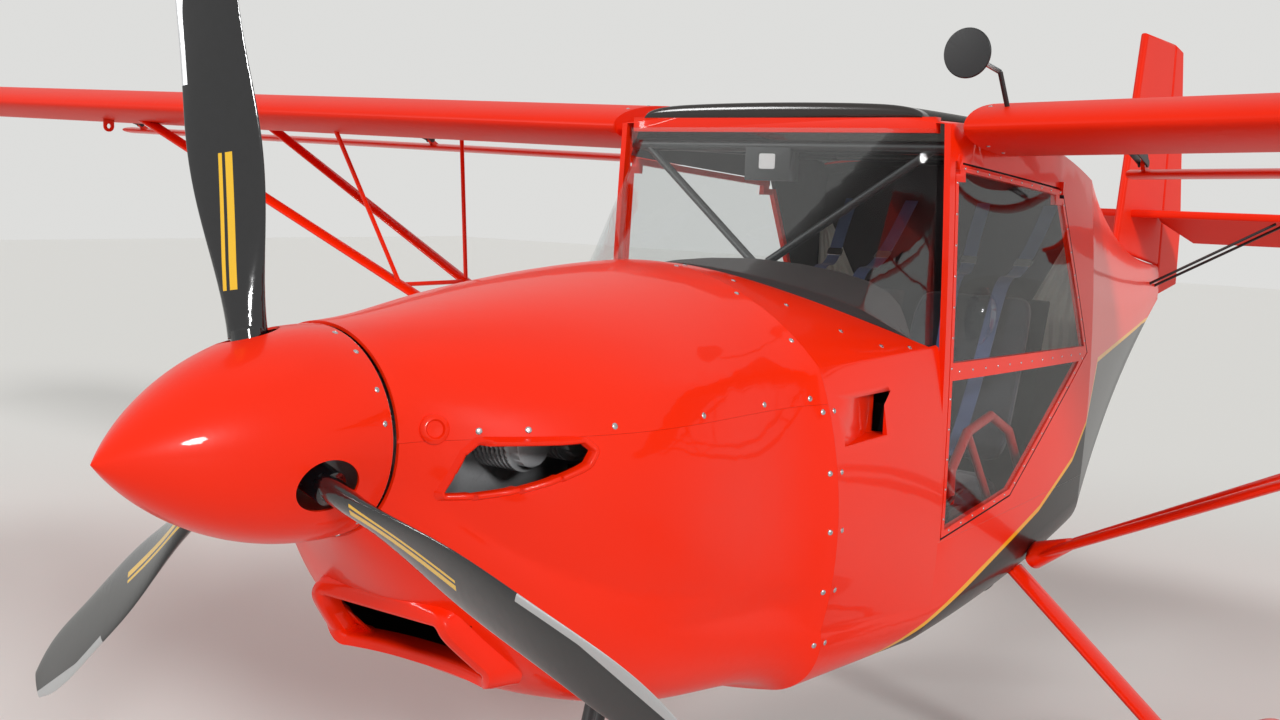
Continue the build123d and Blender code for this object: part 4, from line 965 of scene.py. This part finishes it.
class AIRCRAFT_OT_glass(bpy.types.Operator):
    """Crowned roof sheet, and domed door panes with their vents"""
    bl_idname = "aircraft.glass"
    bl_label = "Roof and door panes"

    def execute(self, context):
        bulge = context.scene.aircraft_looks.pane_bulge
        upper = drawn_in([RAIL[0], RAIL[1], DOOR[1], DOOR[0]], PANE_MARGIN)
        lower = drawn_in([DOOR[4], DOOR[3], RAIL[1], RAIL[0]], PANE_MARGIN)
        oval = circle(*np.array(VENT_AXES), 40)
        for name, hand in HAND.items():
            node = f"door_panes_{name}"
            tree = skin_tree(node, f"door_frame_{name}")
            nets = [dome(hand, upper, tree, bulge, PANE_NOTCH), dome(hand, lower, tree, LOWER_BULGE)]
            panes = make_piece(f"door_glass_{name}", *join_nets(nets), angle=60)
            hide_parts(node)
            settle(panes, "clear", node)
            centre = from_side(skin_tree(node), hand, *VENT_PLACE)[0] + np.array([hand * 0.012, 0, 0])
            rows = [centre + share * oval + np.array([hand * out, 0, 0]) for share, out in VENT_SHELL]
            faces = weave_net(len(VENT_SHELL), 40, round_cols=True)
            settle(make_piece(f"door_scoop_{name}", np.concatenate(rows), faces), "clear", node)
        roof = make_piece("roof_sheet", *roof_sheet(skin_tree("roof_panel", "cabin_frame")), angle=60)
        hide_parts("roof_panel")
        settle(roof, "tinted", "roof_panel")
        paint_faces(roof, "smoked", lambda c, n: c.y < WING_Y + SMOKED_END)
        return {"FINISHED"}


class AIRCRAFT_OT_fasteners(bpy.types.Operator):
    """Rows of screws and rivets, each seated on the skin it holds"""
    bl_idname = "aircraft.fasteners"
    bl_label = "Fasteners"

    def execute(self, context):
        cowls = skin_tree("cowl_upper", "cowl_lower", "forward_skin")
        screws = []
        for hand in HAND.values():
            screws += [from_side(cowls, hand, station, 0.014) for station in SPLIT_SCREWS]
            screws += [from_side(cowls, hand, station, height)
                       for height in EDGE_SCREWS for station in JOINT_STATIONS]
            screws += [from_above(cowls, hand * x, JOINT_STATIONS[0]) for x in DECK_SCREWS]
            screws += [from_above(cowls, hand * x, station - 0.018) for x, station in SCREEN_SCREWS]
        heads("cowl_screws", screws, COWL_HEAD, "airframe")
        ring, spinner = [], skin_tree("spinner")
        for turn in range(3):
            for off in SPINNER_SCREWS:
                angle = math.radians(FIRST_BLADE_ANGLE + 120 * turn + off)
                outward = np.array([math.cos(angle), 0, math.sin(angle)])
                start = np.array([0, SPINNER_BACK_Y - 0.016, THRUST_Z]) + outward * 0.4
                ring.append(on_skin(spinner, start, -outward))
        heads("spinner_screws", ring, SPINNER_HEAD, "propeller")
        outline = drawn_in(DOOR, RIVET_MARGIN)
        runs = [(*pair, RIVET_PITCH) for pair in zip(outline, np.roll(outline, -1, 0))] + [RAIL_RIVETS]
        for name, hand in HAND.items():
            tree = skin_tree(f"door_frame_{name}")
            rivets = []
            for start, end, pitch in runs:
                count = max(2, int(np.linalg.norm(end - start) / pitch))
                for share in (np.arange(count) + 0.5) / count:
                    met = from_side(tree, hand, *(start + (end - start) * share))
                    if met is not None and abs(met[0][0]) > 0.45:
                        rivets.append(met)
            heads(f"door_rivets_{name}", rivets, RIVET_HEAD, f"door_{name}", domed=1.4)
            wing = skin_tree(f"wing_{name}")
            caps = [on_skin(wing, (hand * ROOT_SIDE, WING_Y + station, height), (0, 0, way))
                    for station in ROOT_SCREWS for height, way in ((2.4, -1), (1.5, 1))]
            heads(f"wing_root_screws_{name}", caps, ROOT_HEAD, "airframe")
        return {"FINISHED"}


class AIRCRAFT_OT_seats(bpy.types.Operator):
    """Puffed cloth cushions and backs on thin seat shells"""
    bl_idname = "aircraft.seats"
    bl_label = "Seats"

    def execute(self, context):
        across = np.array([1.0, 0, 0])
        lean = unit(np.array([0, *BACK_LEAN]))
        through = np.cross(lean, across)
        # each pad: its middle, half sizes, axes, and which way its sewn face looks along its third axis
        forms = {
            "cushion": (at(0.0, *CUSHION_PLACE), CUSHION_HALF, (across, (0, 1.0, -0.03), (0, 0.03, 1.0)), 1),
            "back": (at(0.0, *BACK_PLACE), BACK_HALF, (across, lean, through), -1),
        }
        shaped = {}
        for part, (centre, half, axes, face) in forms.items():
            points, faces, own = pillow(centre, half, axes, (0.42, 0.30))
            axes = np.asarray(axes, float)
            if part == "back":
                points = points - through * (BOLSTER * np.abs(own[:, 0]) ** 3)[:, None]
            pad = make_piece(f"pad_{part}", points, faces, 80)
            points = puffed(pad, context.scene.aircraft_looks.puff_cap)
            bpy.data.objects.remove(pad)
            # piped seam round the edge and three sewn channels, cut in after the cloth
            top = own[:, 2]
            seam = np.exp(-((np.abs(top) - 0.55) / 0.10) ** 2) * (np.abs(own[:, :2]).max(1) > 0.9)
            outward = unit(own * np.array([1, 1, 0.2]))
            points = points - (outward @ axes) * (SEAM_DEPTH * seam)[:, None]
            for line in CHANNELS:
                channel = np.exp(-((own[:, 1] - line) / 0.035) ** 2) * (top * face > 0.2)
                channel = channel * (np.abs(own[:, 0]) < 0.93)
                points = points - axes[2] * face * (CHANNEL_DEPTH * channel)[:, None]
            shaped[part] = (points, faces)
        t = np.linspace(-1, 1, 25)
        curl, flat = SHELL_CURL * np.abs(t) ** 6, 0 * t
        for name, hand in HAND.items():
            node, middle = f"seat_{name}", hand * SEAT_SIDE
            for part, (points, faces) in shaped.items():
                piece = make_piece(f"seat_{name}_{part}", points + np.array([middle, 0, 0]), faces, 80)
                settle(piece, "seat", node)
                if part == "cushion":
                    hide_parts(node)
            rows = []
            for depth in (0.0, SHELL_THICK):
                for station, height in SHELL_LINE:
                    forward, up = (curl, flat) if height > SHELL_BEND else (flat, curl)
                    rows.append(np.stack([middle + SHELL_HALF * t, WING_Y + station - forward - depth,
                                          THRUST_Z + height + up + depth], -1))
            count = len(SHELL_LINE)
            order = rows[:count] + rows[count:][::-1]
            faces = weave_net(len(order), 25, round_rows=True)
            shell = make_piece(f"seat_{name}_shell", np.concatenate(order), faces, 50)
            settle(shell, "nylon", node)
        return {"FINISHED"}


def glare_pad_net():
    """The pad's closed rows: from the front edge up along rise share^0.75 to a rolled rear edge, and back."""
    tree = skin_tree("instrument_panel", "forward_skin")
    side, front = (np.array(column) for column in zip(*PAD_FRONT))
    side_top, top = (np.array(column) for column in zip(*PAD_TOP))
    shares = np.linspace(0.0, 1.0, 20)
    rows = []
    for x in np.linspace(-PAD_HALF, PAD_HALF, 57):
        first = np.interp(abs(x), side, front)
        foot = from_above(tree, x, PAD_REAR - 0.008)[0][2]
        rise = max(THRUST_Z + np.interp(abs(x), side_top, top) - foot, 0.002)
        stations = first + (PAD_REAR - PAD_ROLL - first) * shares
        low = np.array([from_above(tree, x, min(s, PAD_REAR - 0.008))[0][2] for s in stations])
        over = np.stack([stations, low + 0.001 + rise * shares ** 0.75], -1)
        under = np.stack([stations, low + 0.0005], -1)
        bend = np.radians([30, 60, 90])
        roll = np.stack([PAD_REAR - PAD_ROLL * (1 - np.sin(bend)),
                         over[-1, 1] - min(0.008, rise / 2) * (1 - np.cos(bend))], -1)
        row = np.concatenate([over, roll, [(PAD_REAR, foot + 0.0005)], under[::-1]])
        rows.append(np.stack([np.full(len(row), x), WING_Y + row[:, 0], row[:, 1]], -1))
    count = len(rows[0])
    faces = weave_net(len(rows), count, round_cols=True)
    faces += [tuple(range(count))[::-1], tuple(i + count * (len(rows) - 1) for i in range(count))]
    return np.concatenate(rows), faces


def strap_net(middle, side):
    """A strap's flat band p(t, k) = line(t) +- half its width across +- half its depth; and its plate."""
    line = np.array(STRAP_LINE)
    fine = np.linspace(0, len(line) - 1, 64)
    line = np.stack([np.interp(fine, range(len(line)), column) for column in line.T], -1)
    for _ in range(6):
        line[1:-1] = (line[:-2] + 2 * line[1:-1] + line[2:]) / 4
    centre = np.stack([middle + side * line[:, 2], WING_Y + line[:, 0], THRUST_Z + line[:, 1]], -1)
    run = unit(np.gradient(centre, axis=0))
    square = unit(np.cross(run, (1.0, 0, 0)))
    wide = np.array([STRAP_HALF, 0, 0])
    corners = [centre + across * wide + over * STRAP_THICK / 2 * square
               for across, over in ((1, 1), (-1, 1), (-1, -1), (1, -1))]
    quads = weave_net(len(centre), 4, round_cols=True)
    quads += [(3, 2, 1, 0), tuple(4 * (len(centre) - 1) + i for i in range(4))]
    axes = ((1, 0, 0), run[STRAP_PLATE], square[STRAP_PLATE])
    plate = block(centre[STRAP_PLATE], PLATE_HALF, (0.2, 0.3), 12, 24, axes)
    return (np.stack(corners, 1).reshape(-1, 3), quads), plate


def curtain_net(hand):
    """A curtain before the bulkhead: p(u, v) with folds that deepen downward, depth(v) cos(2 pi folds u)."""
    rows, cols = CURTAIN_NET
    u = np.linspace(0, 1, cols)[None, :]
    v = np.linspace(0, 1, rows)[:, None]
    height = CURTAIN_TOP - CURTAIN_DROP * v + 0 * u
    inner = CURTAIN_INNER + CURTAIN_SLANT * np.clip(1 - 1.7 * v, 0, 1)
    fold = FOLD_TOP + FOLD_MORE * v
    station = CURTAIN_STATION + fold * np.cos(2 * np.pi * FOLDS * u) + 0.002 * np.sin(9 * u + 4 * v)
    points = np.stack([hand * (inner + (CURTAIN_SIDE - inner) * u), WING_Y + station, THRUST_Z + height], -1)
    return sheet(points.reshape(-1, 3), rows, cols, (0, CURTAIN_THICK, 0))


class AIRCRAFT_OT_glare_pad(bpy.types.Operator):
    """Anti-glare pad on the panel, and the plate under the two sloping tubes' feet"""
    bl_idname = "aircraft.glare_pad"
    bl_label = "Anti-glare pad"

    def execute(self, context):
        pad = make_piece("glare_pad", *glare_pad_net(), 50)
        settle(pad, "shade", "instrument_panel")
        foot = block(at(*FOOT_PLACE), FOOT_HALF, (0.2, 0.2), 14, 28)
        settle(make_piece("tube_foot", *foot), "steel", "cabin_tubes")
        return {"FINISHED"}


class AIRCRAFT_OT_webbing(bpy.types.Operator):
    """Cabin cloth: shoulder straps with their plates and buckles, and a curtain in each rear corner"""
    bl_idname = "aircraft.webbing"
    bl_label = "Straps and curtains"

    def execute(self, context):
        for name, hand in HAND.items():
            middle = hand * SEAT_SIDE
            straps, plates = zip(*(strap_net(middle, side) for side in (-1, 1)))
            buckle = block(at(middle, *BUCKLE_PLACE), BUCKLE_HALF, (0.3, 0.3), 14, 28)
            settle(make_piece(f"harness_{name}", *join_nets(straps), angle=30), "webbing", f"seat_{name}")
            settle(make_piece(f"harness_plates_{name}", *join_nets([*plates, buckle])), "plated",
                   f"seat_{name}")
            curtain = make_piece(f"corner_curtain_{name}", *curtain_net(hand), 60)
            settle(curtain, "curtain", "rear_bulkhead")
        return {"FINISHED"}


class AIRCRAFT_OT_latches(bpy.types.Operator):
    """Door latches: a case with its knob and lever"""
    bl_idname = "aircraft.latches"
    bl_label = "Door latches"

    def execute(self, context):
        for name, hand in HAND.items():
            # the frame's lower bar, just under the case
            bar = from_side(skin_tree(f"door_frame_{name}"), hand, *LATCH_BAR)[0]
            x = bar[0] - hand * LATCH_INSIDE
            case = block(at(x, *LATCH_PLACE), CASE_HALF, (0.25, 0.25), 16, 28)
            station, height = KNOB_PLACE
            knob = turned(KNOB, at(x - hand * 0.008, station, height), (-hand, 0, 0), 24)
            lever = swept([at(x - hand * 0.016, station + s, height + 0.035 * math.sin(s * 14))
                           for s in np.linspace(0, LEVER_LENGTH, 12)], LEVER_RADIUS)
            latch = make_piece(f"door_latch_{name}", *join_nets([case, knob, lever]))
            settle(latch, "nylon", f"door_frame_{name}")
        return {"FINISHED"}


class AIRCRAFT_OT_instruments(bpy.types.Operator):
    """Gauges with rolled bezels and sunk dials on the panel, and the hanging box's blank display"""
    bl_idname = "aircraft.instruments"
    bl_label = "Instruments"

    def execute(self, context):
        rims, dials = [], []
        for x in GAUGE_SIDES:
            for height, radius in GAUGE_ROWS:
                for nets, form in ((rims, BEZEL), (dials, DIAL)):
                    profile = [(share * radius, out) for share, out in form]
                    nets.append(turned(profile, at(x, GAUGE_STATION, height), (0, 1, 0), 36))
        settle(make_piece("gauge_rims", *join_nets(rims)), "nylon", "instrument_panel")
        settle(make_piece("gauge_dials", *join_nets(dials)), "shade", "instrument_panel")
        film = block(at(*DISPLAY_PLACE), DISPLAY_HALF, (0.2, 0.2), 14, 28)
        settle(make_piece("box_display", *film), "film", "cabin_tubes")
        return {"FINISHED"}


class AIRCRAFT_OT_cowl_rims(bpy.types.Operator):
    """Rolled lips round the scoop and the side intakes, and the round boss behind the spinner on each side"""
    bl_idname = "aircraft.cowl_rims"
    bl_label = "Cowl rims"

    def execute(self, context):
        lower = skin_tree("cowl_lower")
        lips = [lip_round(lower, SCOOP, (0, -1, 0), SCOOP_LIP, SCOOP_BEND, SCOOP_PROUD)]
        cowls = skin_tree("cowl_lower", "cowl_upper")
        lips += [lip_round(cowls, INTAKE, (hand, 0, 0), INTAKE_LIP, INTAKE_BEND, INTAKE_PROUD)
                 for hand in HAND.values()]
        settle(make_piece("cowl_lips", *join_nets(lips), angle=50), "red", "cowl_lower")
        upper = skin_tree("cowl_upper")
        bosses = [turned(BOSS, *from_side(upper, hand, *BOSS_PLACE)) for hand in HAND.values()]
        settle(make_piece("cowl_bosses", *join_nets(bosses)), "red", "cowl_upper")
        return {"FINISHED"}


class AIRCRAFT_PT_panel(bpy.types.Panel):
    """The aircraft's settings and steps"""
    bl_idname = "AIRCRAFT_PT_panel"
    bl_label = "Aircraft"
    bl_space_type = "VIEW_3D"
    bl_region_type = "UI"
    bl_category = "Aircraft"

    def draw(self, context):
        for name in AircraftLooks.__annotations__:
            self.layout.prop(context.scene.aircraft_looks, name)
        for step in STEPS:
            self.layout.operator(step.bl_idname)


STEPS = [AIRCRAFT_OT_stage, AIRCRAFT_OT_skins, AIRCRAFT_OT_blades, AIRCRAFT_OT_glass,
         AIRCRAFT_OT_fasteners, AIRCRAFT_OT_seats, AIRCRAFT_OT_glare_pad, AIRCRAFT_OT_webbing,
         AIRCRAFT_OT_latches, AIRCRAFT_OT_instruments, AIRCRAFT_OT_cowl_rims]
CLASSES = [AircraftLooks, *STEPS, AIRCRAFT_PT_panel]


def register():
    for item in CLASSES:
        bpy.utils.register_class(item)
    bpy.types.Scene.aircraft_looks = bpy.props.PointerProperty(type=AircraftLooks)


def unregister():
    del bpy.types.Scene.aircraft_looks
    for item in reversed(CLASSES):
        bpy.utils.unregister_class(item)


def main():
    register()
    for step in STEPS:
        group, name = step.bl_idname.split(".")
        getattr(getattr(bpy.ops, group), name)()


if __name__ == "__main__":
    main()
